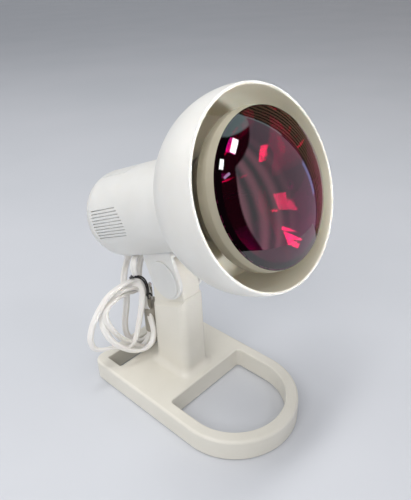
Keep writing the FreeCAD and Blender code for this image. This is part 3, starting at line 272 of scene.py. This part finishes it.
def reflector_glass():
    """Pressed glass silvered inside: a mirror within. Outside, the pale band round the rim is a painted
    reflection of the shade's cream inside, and the dark olive cone behind it is painted shade.
    """
    material, shader = new_material("reflector_glass")
    links = material.node_tree.links
    forward, facing = beam_places(material)
    band = compute(material, "GREATER_THAN", forward, BAND_BACK_MM * MM)
    painted_band_mask = compute(material, "MULTIPLY", band, facing)
    wave = noise(material, 30.0, detail=2.0)
    silver = ramp(material, wave, [(0.3, linear(214, 205, 190)), (0.7, linear(228, 221, 208))])
    # painted reflection: the band's cream stands in for the shade's pale inside mirrored in the silvered rim
    painted_rim_reflection = ramp(material, wave, [(0.3, linear(166, 160, 143)), (0.7, linear(178, 172, 155))])
    # painted shade: the dark olive on the cone behind the band
    outside = choose(material, band, tuple(linear(96, 84, 56)), painted_rim_reflection)
    links.new(choose(material, facing, silver, outside), shader.inputs["Base Color"])
    rough = compute(material, "MULTIPLY_ADD", painted_band_mask, BAND_EXTRA_ROUGH)
    rough.node.inputs[2].default_value = SILVER_ROUGH
    links.new(rough, shader.inputs["Roughness"])
    shine = compute(material, "SUBTRACT", SILVER_SHINE, compute(material, "MULTIPLY", painted_band_mask, SILVER_SHINE))
    links.new(shine, shader.inputs["Metallic"])
    bump(material, shader, wave, 0.12, 0.3)
    return material


def clear_glass():
    material, shader = new_material("clear_glass")
    tint = ramp(material, noise(material, 60.0), [(0.3, linear(225, 232, 230)), (0.7, linear(240, 244, 242))])
    material.node_tree.links.new(tint, shader.inputs["Base Color"])
    shader.inputs["Roughness"].default_value = 0.03
    shader.inputs["Transmission Weight"].default_value = 0.9
    return material


def ceramic():
    return mottled("ceramic", linear(226, 222, 210), linear(238, 235, 226), 0.12, 0.22, grain=400.0)


def metal(name, dark, light, rough_low, rough_high):
    return mottled(name, dark, light, rough_low, rough_high, grain=1500.0, grain_depth_mm=0.01, patch=80.0,
                   metallic=1.0)


def cord_sheath():
    """Off-white soft vinyl of the flat twin cord, a little soiled in places."""
    material = mottled("cord_sheath", linear(238, 234, 228), linear(247, 245, 241), 0.34, 0.48, grain=700.0,
                       patch=30.0)
    shader = material.node_tree.nodes["Principled BSDF"]
    shader.inputs["Subsurface Weight"].default_value = 0.08
    shader.inputs["Subsurface Radius"].default_value = (0.002, 0.0015, 0.001)
    shader.inputs["Subsurface Scale"].default_value = 0.5
    return material


PIN_SLEEVE_TOP_MM = 91.0      # the pins are sleeved up to this height


def plug_pin():
    """Nickel-plated tips above grey-brown moulded sleeves."""
    material = metal("plug_pin", linear(198, 196, 190), linear(222, 220, 215), 0.12, 0.22)
    shader = material.node_tree.nodes["Principled BSDF"]
    links = material.node_tree.links
    place = add_node(material, "ShaderNodeTexCoord")
    height = add_node(material, "ShaderNodeSeparateXYZ")
    links.new(place.outputs["Object"], height.inputs["Vector"])
    tip = compute(material, "GREATER_THAN", height.outputs["Z"], PIN_SLEEVE_TOP_MM * MM)
    bright = shader.inputs["Base Color"].links[0].from_socket
    links.new(choose(material, tip, tuple(linear(132, 126, 112)), bright), shader.inputs["Base Color"])
    links.new(tip, shader.inputs["Metallic"])
    return material


MATERIALS = {
    "head_shell": head_shell,
    "stand_shell": stand_shell,
    "cover_plate": cover_plate,
    "lens_glass": lens_glass,
    "reflector_glass": reflector_glass,
    "clear_glass": clear_glass,
    "ceramic": ceramic,
    "screw_cap": lambda: metal("screw_cap", linear(186, 186, 182), linear(208, 208, 204), 0.22, 0.34),
    "brass": lambda: metal("brass", linear(176, 140, 74), linear(206, 170, 98), 0.22, 0.36),
    "tungsten": lambda: metal("tungsten", linear(92, 92, 96), linear(120, 120, 124), 0.35, 0.5),
    "zinc_steel": lambda: metal("zinc_steel", linear(164, 166, 168), linear(190, 192, 194), 0.25, 0.4),
    "plug_pin": plug_pin,
    "plug_shell": lambda: mottled("plug_shell", linear(150, 144, 132), linear(168, 162, 150), 0.3, 0.42),
    "cord_sheath": cord_sheath,
    "foot_rubber": lambda: mottled("foot_rubber", linear(48, 48, 50), linear(66, 66, 68), 0.6, 0.75),
    "tie_wire": lambda: mottled("tie_wire", linear(16, 15, 15), linear(30, 28, 27), 0.28, 0.42, grain=500.0),
    "fibre": lambda: mottled("fibre", linear(132, 104, 84), linear(158, 126, 102), 0.6, 0.75, patch=150.0),
    "live_sleeve": lambda: mottled("live_sleeve", linear(96, 58, 36), linear(116, 72, 46), 0.35, 0.45),
    "neutral_sleeve": lambda: mottled("neutral_sleeve", linear(40, 84, 140), linear(54, 102, 160),
                                      0.35, 0.45),
}
materials = {slot: make() for slot, make in MATERIALS.items()}


def dress_nodes():
    """Give every CAD node the procedural material of its slot in the record."""
    for name, node in NODES.items():
        for slot in node.material_slots:
            slot.material = materials[SLOT_OF[name]]


# ---------------------------------------------------------------------------------------- mesh tools
def mesh_piece(name, points, faces, slot):
    mesh = bpy.data.meshes.new(name)
    mesh.from_pydata([tuple(point) for point in points], [], faces)
    mesh.validate()
    mesh.update()
    mesh.materials.append(materials[slot])
    piece = bpy.data.objects.new(name, mesh)
    bpy.context.scene.collection.objects.link(piece)
    for polygon in mesh.polygons:
        polygon.use_smooth = True
    return piece


def smooth_line(route):
    """Points read from the NURBS spline whose control points are the route."""
    curve = bpy.data.curves.new("route", "CURVE")
    curve.dimensions = "3D"
    curve.resolution_u = 10
    spline = curve.splines.new("NURBS")
    spline.points.add(len(route) - 1)
    for point, place in zip(spline.points, route):
        point.co = (*place, 1.0)
    spline.order_u = 3
    spline.use_endpoint_u = True
    holder = bpy.data.objects.new("route", curve)
    mesh = bpy.data.meshes.new_from_object(holder)
    line = [vertex.co.copy() for vertex in mesh.vertices]
    bpy.data.meshes.remove(mesh)
    bpy.data.curves.remove(curve)
    return line


def frames_along(line, across, lean=None, pull=0.0):
    """(point, side, up) along a line, carried on from a first sideways direction.

    With a lean, the side also turns a little towards that direction at each point.
    """
    found = []
    side = Vector(across)
    for index, point in enumerate(line):
        ahead = line[min(index + 1, len(line) - 1)] - line[max(index - 1, 0)]
        ahead.normalize()
        side = (side - side.dot(ahead) * ahead).normalized()
        if lean is not None:
            across_line = lean - lean.dot(ahead) * ahead
            side = (side + across_line * math.copysign(pull, side.dot(across_line))).normalized()
        found.append((point, side.copy(), ahead.cross(side)))
    return found


def sweep(name, frames, outline_at, slot):
    """A closed tube whose outline, (sideways, upwards) pairs, may change along its frames."""
    points, faces = [], []
    count = len(outline_at(0))
    for index, (centre, side, up) in enumerate(frames):
        points += [centre + side * x + up * y for x, y in outline_at(index)]
    for ring in range(len(frames) - 1):
        first, second = ring * count, (ring + 1) * count
        for k in range(count):
            after = (k + 1) % count
            faces.append((first + k, first + after, second + after, second + k))
    last = (len(frames) - 1) * count
    faces.append(tuple(reversed(range(count))))
    faces.append(tuple(range(last, last + count)))
    return mesh_piece(name, points, faces, slot)


def circle(radius, count=20):
    return [(radius * math.cos(math.tau * k / count), radius * math.sin(math.tau * k / count))
            for k in range(count)]


# ------------------------------------------------------------------------------------------ the cord
CORD_WIDTH_MM = 6.9
CORE_RADIUS_MM = 1.95         # each of the flat cord's two round cores
GROOVE_HALF_MM = 1.5          # half the thickness in the groove between them
CORE_ARC_START = -125         # each core's outline is an arc of points a few degrees apart
CORE_ARC_STEP = 25
CORE_ARC_POINTS = 11

LEAD_MM = [                   # from the gland's tip to the bundle, as part.py has it
    (0, 95.0, 118.6), (0, 97.2, 113.3), (-2.6, 98.6, 104.4), (-8.0, 95.5, 97.6), (-14.4, 88.0, 93.6),
    (-17.4, 80.6, 91.0),
]
FIRST_PASS_MM = [             # down behind the bundle, round below it and up again into the tie
    (-20, 79.5, 76), (-24.5, 80, 60), (-27, 79, 44), (-22, 75.5, 31), (-10, 72, 26), (2, 70, 32), (6, 69, 48),
    (4, 68, 68), (0.5, 67, 86), (-3, 66, 97), (-9, 65, 106),
]
OUTER_TURN_MM = [             # the widest turn; its right side is the strand in front
    (-18.5, 64, 112.5), (-26, 66.5, 112), (-37, 69, 109), (-47, 71, 104.5), (-56.5, 73.5, 93.5),
    (-63.5, 75.5, 82.5), (-69, 76.5, 71), (-72, 76, 60.5), (-70, 74, 50.5), (-62, 71, 46.5),
    (-52.5, 67.5, 46), (-43.5, 64, 41.5), (-35.5, 60, 39.5), (-30.5, 57, 48.5), (-25, 56.5, 64),
    (-20, 56.5, 77.5), (-16.5, 56.5, 91), (-15, 56.5, 99),
]
HIDDEN_TURN_MM = [            # behind the others on the left, seen between the strands on the right
    (-14, 58.5, 105.5), (-16, 63.5, 108), (-20, 69.5, 105.5), (-25, 73, 102.5), (-31, 76.5, 99),
    (-41.5, 79, 90.5), (-49.5, 79, 79.5), (-52.5, 78, 67.5), (-51.5, 75, 55.5), (-45.5, 71, 42.5),
    (-35.5, 68, 32), (-20, 65.5, 26), (-8.5, 65, 29.5), (-4, 65, 39), (-3.5, 65.5, 53), (-4, 67, 67),
    (-3.5, 69, 81.5),
]
LOW_TURN_MM = [               # the lowest turn, which passes in front of the plug on its way up
    (-10.5, 66, 98.5), (-24.5, 67, 104.5), (-35.5, 72, 101.5), (-46, 75, 93), (-55.5, 74, 83),
    (-58.5, 71, 75.5), (-58.5, 67.5, 69), (-57, 63, 61), (-51.5, 59, 52), (-45, 55.5, 45), (-37, 53, 38.5),
    (-28.5, 51, 35.5), (-20.5, 50, 35.5), (-15, 49.5, 39.5), (-11.5, 50, 46.5), (-10.5, 51, 55.5),
    (-11, 53, 65), (-10.5, 56.5, 74.5), (-9, 60, 86), (-8.5, 62, 97.5),
]
BIGHT_MM = [                  # the loop that stands up out of the tie
    (-13, 61.5, 109.5), (-19.5, 59, 121), (-22, 58, 132.5), (-16, 61, 139), (-4, 69, 135.5), (3.5, 76.5, 125),
    (1.5, 79, 114), (0, 80, 101.5),
]
PLUG_TURN_MM = [              # the last turn, innermost on the left, that ends in the plug's boot
    (-1, 79, 89.5), (-11, 76.5, 89.5), (-23, 73, 95.5), (-35.5, 69.5, 98.5), (-43.5, 69, 97.5),
    (-50, 69.5, 94), (-54, 69, 89), (-55, 67.5, 82), (-53.5, 65.5, 74), (-49.5, 64, 64), (-42.5, 62.5, 53),
    (-32.5, 62, 43), (-20, 61.5, 29), (-9, 61, 24), (-0.5, 61, 30.5), (-2, 62, 42),
]
FACE_TURN = Vector((0.5, -0.85, 0.1))     # the way across the flat cord that it lies down to
FACE_PULL = 0.06                          # how much it turns to that way at each point


def cord_route():
    turns = OUTER_TURN_MM + HIDDEN_TURN_MM + LOW_TURN_MM
    route = LEAD_MM + FIRST_PASS_MM + turns + BIGHT_MM + PLUG_TURN_MM
    return [Vector(point) * MM for point in route]


def twin_outline():
    """Two round cores side by side with a shallow groove between them."""
    reach = CORD_WIDTH_MM / 2 - CORE_RADIUS_MM
    right = []
    for step in range(CORE_ARC_POINTS):
        angle = math.radians(CORE_ARC_START + CORE_ARC_STEP * step)
        right.append((reach + CORE_RADIUS_MM * math.cos(angle), CORE_RADIUS_MM * math.sin(angle)))
    left = [(-x, -y) for x, y in right]
    outline = right + [(0, GROOVE_HALF_MM)] + left + [(0, -GROOVE_HALF_MM)]
    return [(x * MM, y * MM) for x, y in outline]


cord_line = smooth_line(cord_route())


def make_cord():
    """The flat twin cord in one piece, from the gland through the tied bundle to the plug."""
    frames = frames_along(cord_line, (1, 0, 0), FACE_TURN, FACE_PULL)
    outline = twin_outline()
    cord = sweep("supply_cord", frames, lambda index: outline, "cord_sheath")
    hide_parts("supply_cord_lead", "supply_cord_coil")
    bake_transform(cord)
    return cord


# ------------------------------------------------------------------------------------- tie and plug
TIE_LOOP_MM = [               # once round the bundle's neck, from its lower end in front
    (-12.5, 53, 96), (-14, 50, 105), (-15.5, 50.5, 113.5), (-18, 52, 119), (-21, 55.5, 120.5), (-22, 61, 118),
    (-19, 69, 114), (-15, 75, 109), (-10.5, 78, 102), (-8.5, 74, 96), (-8.5, 66, 92), (-10.5, 57.5, 92),
]
TIE_START_MM = [(-11.5, 52, 91), (-12, 52.5, 93)]
TIE_TAIL_MM = [(-9.5, 52.5, 97), (-7.5, 52.5, 95), (-6.5, 53, 92)]
TIE_AXIS = Vector((0.9, 0.0, 0.43))
TIE_TURNS = 2
TIE_WIRE_MM = 0.85            # the wire's radius
TIE_PITCH_MM = 1.9
TIE_SIDES = 10


def make_tie():
    """A black coated wire, wound twice round the bundle's neck, its two ends standing out in front."""
    route = [Vector(point) for point in TIE_START_MM]
    for turn in range(TIE_TURNS):
        route += [Vector(point) + TIE_AXIS * TIE_PITCH_MM * turn for point in TIE_LOOP_MM]
    route += [Vector(point) for point in TIE_TAIL_MM]
    frames = frames_along(smooth_line([point * MM for point in route]), TIE_AXIS)
    tie = sweep("twist_tie", frames, lambda index: circle(TIE_WIRE_MM * MM, TIE_SIDES), "tie_wire")
    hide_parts("cord_tie")
    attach(tie, "stand")
    return tie


# ------------------------------------------------------------------------------------------ the boot
BOOT_LENGTH_MM = 15.0
BOOT_RIBS = 5
BOOT_RADIUS_MM = 4.6          # at the plug
BOOT_TAPER_MM = 1.3           # how much less it is at the other end
BOOT_RIB_MM = 0.35            # how far the ribs stand out and the grooves go in
BOOT_ACROSS = (0.7, 0.7, 0)
BOOT_PARTS = 4                # rings between two points of the cord's line


def make_boot():
    """The plug's ribbed boot, which bends with the last of the cord."""
    tail, run = [cord_line[-1]], 0.0
    for point in reversed(cord_line[:-1]):
        run += (tail[-1] - point).length
        tail.append(point)
        if run > BOOT_LENGTH_MM * MM:
            break
    line = []
    for first, second in zip(tail, tail[1:]):
        line += [first.lerp(second, part / BOOT_PARTS) for part in range(BOOT_PARTS)]
    frames = frames_along(line, BOOT_ACROSS)
    count = len(frames)

    def outline(index):
        share = index / (count - 1)
        rib = BOOT_RIB_MM * math.cos(math.tau * BOOT_RIBS * share)
        return circle((BOOT_RADIUS_MM - BOOT_TAPER_MM * share + rib) * MM)

    boot = sweep("plug_boot_ribbed", frames, outline, "plug_shell")
    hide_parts("plug_boot")
    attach(boot, "stand")
    return boot


# ------------------------------------------------------------------------------- the vents' pale floors
BAFFLE_DEPTHS_MM = (183.6, 134.0)         # how far back from the bulb's rim they end and start
BAFFLE_RADII_MM = (41.9, 41.1)            # outer radius there, a little under the barrel's surface
BAFFLE_THICK_MM = 0.6
BAFFLE_HALF_TURN = 23                     # degrees each way from the middle
BAFFLE_STEPS = 12


def make_baffle(name, middle):
    """A thin pale web across one group of vents, with its middle at so many degrees round the beam.

    It is a guess: the vents look pale in the photograph, and what closes them there isn't seen.
    """
    head_up = Vector((0, BEAM[2], -BEAM[1]))
    frames = [((Vector(HEAD_ORIGIN_MM) - Vector(BEAM) * depth) * MM, Vector((1, 0, 0)), head_up)
              for depth in BAFFLE_DEPTHS_MM]
    turns = [math.radians(middle + BAFFLE_HALF_TURN * (2 * step / BAFFLE_STEPS - 1))
             for step in range(BAFFLE_STEPS + 1)]

    def outline(index):
        outer = BAFFLE_RADII_MM[index] * MM
        inner = outer - BAFFLE_THICK_MM * MM
        return ([(outer * math.cos(turn), outer * math.sin(turn)) for turn in turns]
                + [(inner * math.cos(turn), inner * math.sin(turn)) for turn in reversed(turns)])

    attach(sweep(name, frames, outline, "head_shell"), "head")


# ----------------------------------------------------------------------------------- floor and light
TABLE_WAY = Vector((0.695, -0.718, 0))    # along the wall that the table stands against
WALL_WAY = Vector((0.718, 0.695, 0))      # from the lamp to that wall
TABLE_END = 0.55
TABLE_BACK = 0.20
FLOOR_REACH = 12.0


def floor_part(name, along, back, material):
    """A level rectangle between two distances along the table and two towards the wall."""
    corners = ((along[0], back[0]), (along[1], back[0]), (along[1], back[1]), (along[0], back[1]))
    mesh = bpy.data.meshes.new(name)
    mesh.from_pydata([tuple(TABLE_WAY * a + WALL_WAY * b) for a, b in corners], [], [(0, 1, 2, 3)])
    mesh.materials.append(material)
    part = bpy.data.objects.new(name, mesh)
    bpy.context.scene.collection.objects.link(part)
    return part


def make_floor():
    """A pale floor, of which gloss shows only the table's part."""
    material = mottled("floor", linear(206, 209, 214), linear(211, 213, 218), 0.55, 0.62, grain=300.0,
                       patch=3.0, specular=0.25)
    floor_part("table", (-FLOOR_REACH, TABLE_END), (-FLOOR_REACH, TABLE_BACK), material)
    beside = floor_part("floor_beside", (TABLE_END, FLOOR_REACH), (-FLOOR_REACH, FLOOR_REACH), material)
    behind = floor_part("floor_behind", (-FLOOR_REACH, TABLE_END), (TABLE_BACK, FLOOR_REACH), material)
    beside.visible_glossy = behind.visible_glossy = False


def area_light(name, place, aim, width, height, power, colour=(1, 1, 1)):
    light = bpy.data.lights.new(name, "AREA")
    light.shape = "RECTANGLE"
    light.size = width
    light.size_y = height
    light.energy = power
    light.color = colour
    holder = bpy.data.objects.new(name, light)
    bpy.context.scene.collection.objects.link(holder)
    holder.location = place
    holder.rotation_euler = (Vector(aim) - Vector(place)).to_track_quat("-Z", "Y").to_euler()
    holder.visible_camera = False
    return holder


LENS_PLACE = Vector((0.0, -0.09, 0.24))
WINDOW_DISTANCE = 1.5
WINDOWS = [                   # (way from the lens, way along it, width, length, power, colour)
    ((0.26, -0.58, 0.77), (0.72, 0.65, 0.24), 0.11, 0.30, 1.3, (1.0, 1.0, 1.0)),
    ((-0.02, -0.70, 0.71), (0.64, 0.55, 0.54), 0.075, 0.20, 0.6, (1.0, 1.0, 1.0)),
    ((-0.03, -0.80, 0.60), (0.95, 0.0, 0.3), 0.05, 0.16, 0.08, (0.75, 0.65, 1.0)),
]
PANES = 4                     # the lamps above and on the left are rows of this many panes
OVERHEAD_PLACE = Vector((-0.15, 0.1, 2.0))
OVERHEAD_AIM = Vector((0, 0, 0.1))
OVERHEAD_PITCH = Vector((0.3, 0, 0))      # from one pane to the next
LEFT_PLACE = Vector((-1.3, -0.6, 1.5))
LEFT_AIM = Vector((0, 0, 0.15))
LEFT_PITCH = Vector((0.1512, -0.3276, 0))
LEFT_AIM_PITCH = Vector((0.108, -0.216, 0))
LEFT_PANE_IN_GLASS = 1                    # the only one on the left that shows through glass
BEAM_SPREAD = math.radians(9)


def small_window(name, way, along, width, length, power, colour):
    """A bright pane in one direction from the lens, turned so that its length lies the given way."""
    place = LENS_PLACE + Vector(way) * WINDOW_DISTANCE
    window = area_light(name, place, LENS_PLACE, width, length, power, colour)
    back = Vector(way).normalized()
    length_way = (Vector(along) - Vector(along).dot(back) * back).normalized()
    across = length_way.cross(back)
    window.rotation_euler = Matrix((across, length_way, back)).transposed().to_euler()


def make_lights():
    """Soft light from above, the left and behind, and small windows for the glass to mirror.

    A narrow beam brightens the inside of the shade, and a low lamp the left side of the stand.
    """
    for pane in range(PANES):
        step = pane - (PANES - 1) / 2
        area_light("overhead_%d" % pane, OVERHEAD_PLACE + OVERHEAD_PITCH * step,
                   OVERHEAD_AIM + OVERHEAD_PITCH * step, width=0.2, height=0.45, power=3.5,
                   colour=(1.0, 0.99, 0.98))
        side = area_light("left_%d" % pane, LEFT_PLACE + LEFT_PITCH * step, LEFT_AIM + LEFT_AIM_PITCH * step,
                          width=0.26, height=0.9, power=3.2, colour=(1.0, 0.98, 0.96))
        side.visible_transmission = pane == LEFT_PANE_IN_GLASS
    back = area_light("back", (-0.8, 1.6, 1.3), (0, 0, 0.15), width=1.2, height=0.8, power=6.0)
    back.visible_transmission = False
    beam = area_light("into_shade", (0.3, -1.6, 0.32), (0, -0.09, 0.27), width=0.3, height=0.3, power=0.19)
    beam.data.spread = BEAM_SPREAD
    beam.visible_glossy = beam.visible_transmission = False
    low = area_light("left_low", (-1.4, -0.1, 0.3), (0, 0, 0.12), width=0.8, height=0.4, power=1.2)
    low.visible_glossy = low.visible_transmission = False
    for index, window in enumerate(WINDOWS):
        small_window("window_%d" % index, *window)


# -------------------------------------------------------------------------------------------- world
PLAIN_ROOM = (0.40, 0.41, 0.43)           # the even room that lights the object
BACKDROP = (0.78, 0.79, 0.82)             # what the camera sees behind the floor
IN_GLASS = (0.05, 0.04, 0.04)             # what shows through glass

# The room that gloss sees in place of the backdrop, because the photograph's lens mirrors one. Its
# places are in degrees: a turn goes from the lamp's front towards +X, and a rise goes up from level.
SOFT_EDGE = 1.5
DARK_SIDE_LEFT, DARK_SIDE_SOFT = -80.0, 30.0
DARK_SIDE = (0.03, 0.01, 0.02)
OPENING_LEFT, OPENING_BOW = 2.0, 9.0      # its left edge at the middle rise, and that edge's bow
OPENING_MIDDLE, OPENING_HALF = 12.0, 26.0
OPENING_TOP, OPENING_TOP_SLOPE = 36.3, 0.15
OPENING_GAP, OPENING_GAP_SOFT = 1.5, 0.8  # from the opening to the slats
WALL_PITCH, WALL_SOFT = 14.0, 2.0         # upright bands on the wall in the opening
WALL_BANDS = (0.46, 0.48, 0.52), (1.45, 0.78, 0.95)
WALL_RIGHT_FROM, WALL_RIGHT_SOFT = 38.0, 24.0
WALL_RIGHT = (0.56, 0.43, 0.53)
CEILING_LEFT, CEILING_SOFT = -10.0, 30.0
CEILING_LOW, CEILING_SLOPE = 66.0, -0.36
WEDGE_LEFT, WEDGE_LOW = 66.0, 22.0        # the ceiling's lower part, next to the slats
CEILING = (0.85, 1.1, 1.15)
SLATS_LEFT, SLATS_SLOPE = 77.0, -0.2
SLATS_RIGHT, SLATS_RIGHT_SOFT = 125.0, 20.0
SLAT_PITCH, SLAT_LEVEL, SLAT_SOFT = 3.1, -0.2, 1.2
SLATS = (0.03, 0.03, 0.02), (0.36, 0.24, 0.15)
STREAK_SIDES = 1.5, 4.5                   # how far left of the slats it ends and starts
STREAK_LOW, STREAK_TOP = -12.0, 4.0
STREAK = (0.9, 0.9, 1.7)


def room_angles(world):
    """The turn and the rise of a direction, in degrees."""
    place = add_node(world, "ShaderNodeTexCoord")
    split = add_node(world, "ShaderNodeSeparateXYZ")
    world.node_tree.links.new(place.outputs["Generated"], split.inputs["Vector"])
    front = compute(world, "MULTIPLY", split.outputs["Y"], -1.0)
    turn = compute(world, "ARCTAN2", split.outputs["X"], front)
    rise = compute(world, "ARCSINE", split.outputs["Z"])
    return [compute(world, "MULTIPLY", angle, 180 / math.pi) for angle in (turn, rise)]


def mirrored_room(world):
    """A dark side with a bright opening, a pale ceiling, and brown slats on the right."""
    turn, rise = room_angles(world)

    def above(value, limit, soft=SOFT_EDGE):
        """0 below the limit, 1 above it, over a few degrees."""
        step = compute(world, "DIVIDE", compute(world, "SUBTRACT", value, limit), soft)
        clamped = compute(world, "ADD", step, 0.5)
        clamped.node.use_clamp = True
        return clamped

    def below(value, limit, soft=SOFT_EDGE):
        return compute(world, "SUBTRACT", 1.0, above(value, limit, soft))

    def both(first, second):
        return compute(world, "MULTIPLY", first, second)

    def sloped(level, slope, value):
        """The level, plus the slope times a value."""
        return compute(world, "ADD", level, compute(world, "MULTIPLY", value, slope))

    def wave(value, pitch):
        return compute(world, "SINE", compute(world, "MULTIPLY", value, math.tau / pitch))

    before_slats = compute(world, "SUBTRACT", sloped(SLATS_LEFT, SLATS_SLOPE, rise), turn)
    from_middle = compute(world, "DIVIDE", compute(world, "SUBTRACT", rise, OPENING_MIDDLE), OPENING_HALF)
    opening_left = sloped(OPENING_LEFT, OPENING_BOW, compute(world, "POWER", from_middle, 2.0))
    opening_top = sloped(OPENING_TOP, OPENING_TOP_SLOPE, turn)
    ceiling_low = sloped(CEILING_LOW, CEILING_SLOPE, turn)

    opening_wide = both(above(turn, opening_left), above(before_slats, OPENING_GAP, OPENING_GAP_SOFT))
    opening = both(opening_wide, below(rise, opening_top))
    dark_side = both(above(turn, DARK_SIDE_LEFT, DARK_SIDE_SOFT), above(before_slats, 0.0))
    wedge = both(above(turn, WEDGE_LEFT), above(rise, WEDGE_LOW))
    overhead = both(above(turn, CEILING_LEFT, CEILING_SOFT), above(rise, ceiling_low))
    ceiling = both(compute(world, "MAXIMUM", overhead, wedge), above(before_slats, 0.0))
    slat_side = both(below(before_slats, 0.0), below(turn, SLATS_RIGHT, SLATS_RIGHT_SOFT))
    streak_wide = both(above(before_slats, STREAK_SIDES[0]), below(before_slats, STREAK_SIDES[1]))
    streak = both(streak_wide, both(above(rise, STREAK_LOW), below(rise, STREAK_TOP)))

    slats = choose(world, above(wave(before_slats, SLAT_PITCH), SLAT_LEVEL, SLAT_SOFT), *SLATS)
    wall = choose(world, above(wave(turn, WALL_PITCH), 0.0, WALL_SOFT), *WALL_BANDS)
    wall = choose(world, above(turn, WALL_RIGHT_FROM, WALL_RIGHT_SOFT), wall, WALL_RIGHT)
    seen = choose(world, dark_side, PLAIN_ROOM, DARK_SIDE)
    seen = choose(world, ceiling, seen, CEILING)
    seen = choose(world, slat_side, seen, slats)
    seen = choose(world, opening, seen, wall)
    return choose(world, streak, seen, STREAK)


def make_world():
    """An even pale room, of which gloss, glass and the camera each see a version of their own."""
    world = bpy.data.worlds.new("world")
    bpy.context.scene.world = world
    world.use_nodes = True
    background = world.node_tree.nodes["Background"]
    path = add_node(world, "ShaderNodeLightPath")
    light = choose(world, path.outputs["Is Glossy Ray"], PLAIN_ROOM, mirrored_room(world))
    light = choose(world, path.outputs["Is Transmission Ray"], light, IN_GLASS)
    light = choose(world, path.outputs["Is Camera Ray"], light, BACKDROP)
    world.node_tree.links.new(light, background.inputs["Color"])
    background.inputs["Strength"].default_value = 1.0


# ---------------------------------------------------------------------------------------- the script
make_camera()
cord = make_cord()
tie = make_tie()
boot = make_boot()
make_baffle("vent_baffle_right", 0)
make_baffle("vent_baffle_top", 90)
make_baffle("vent_baffle_left", 180)
dress_nodes()
make_floor()
make_lights()
make_world()
bpy.context.scene.view_settings.view_transform = "Standard"
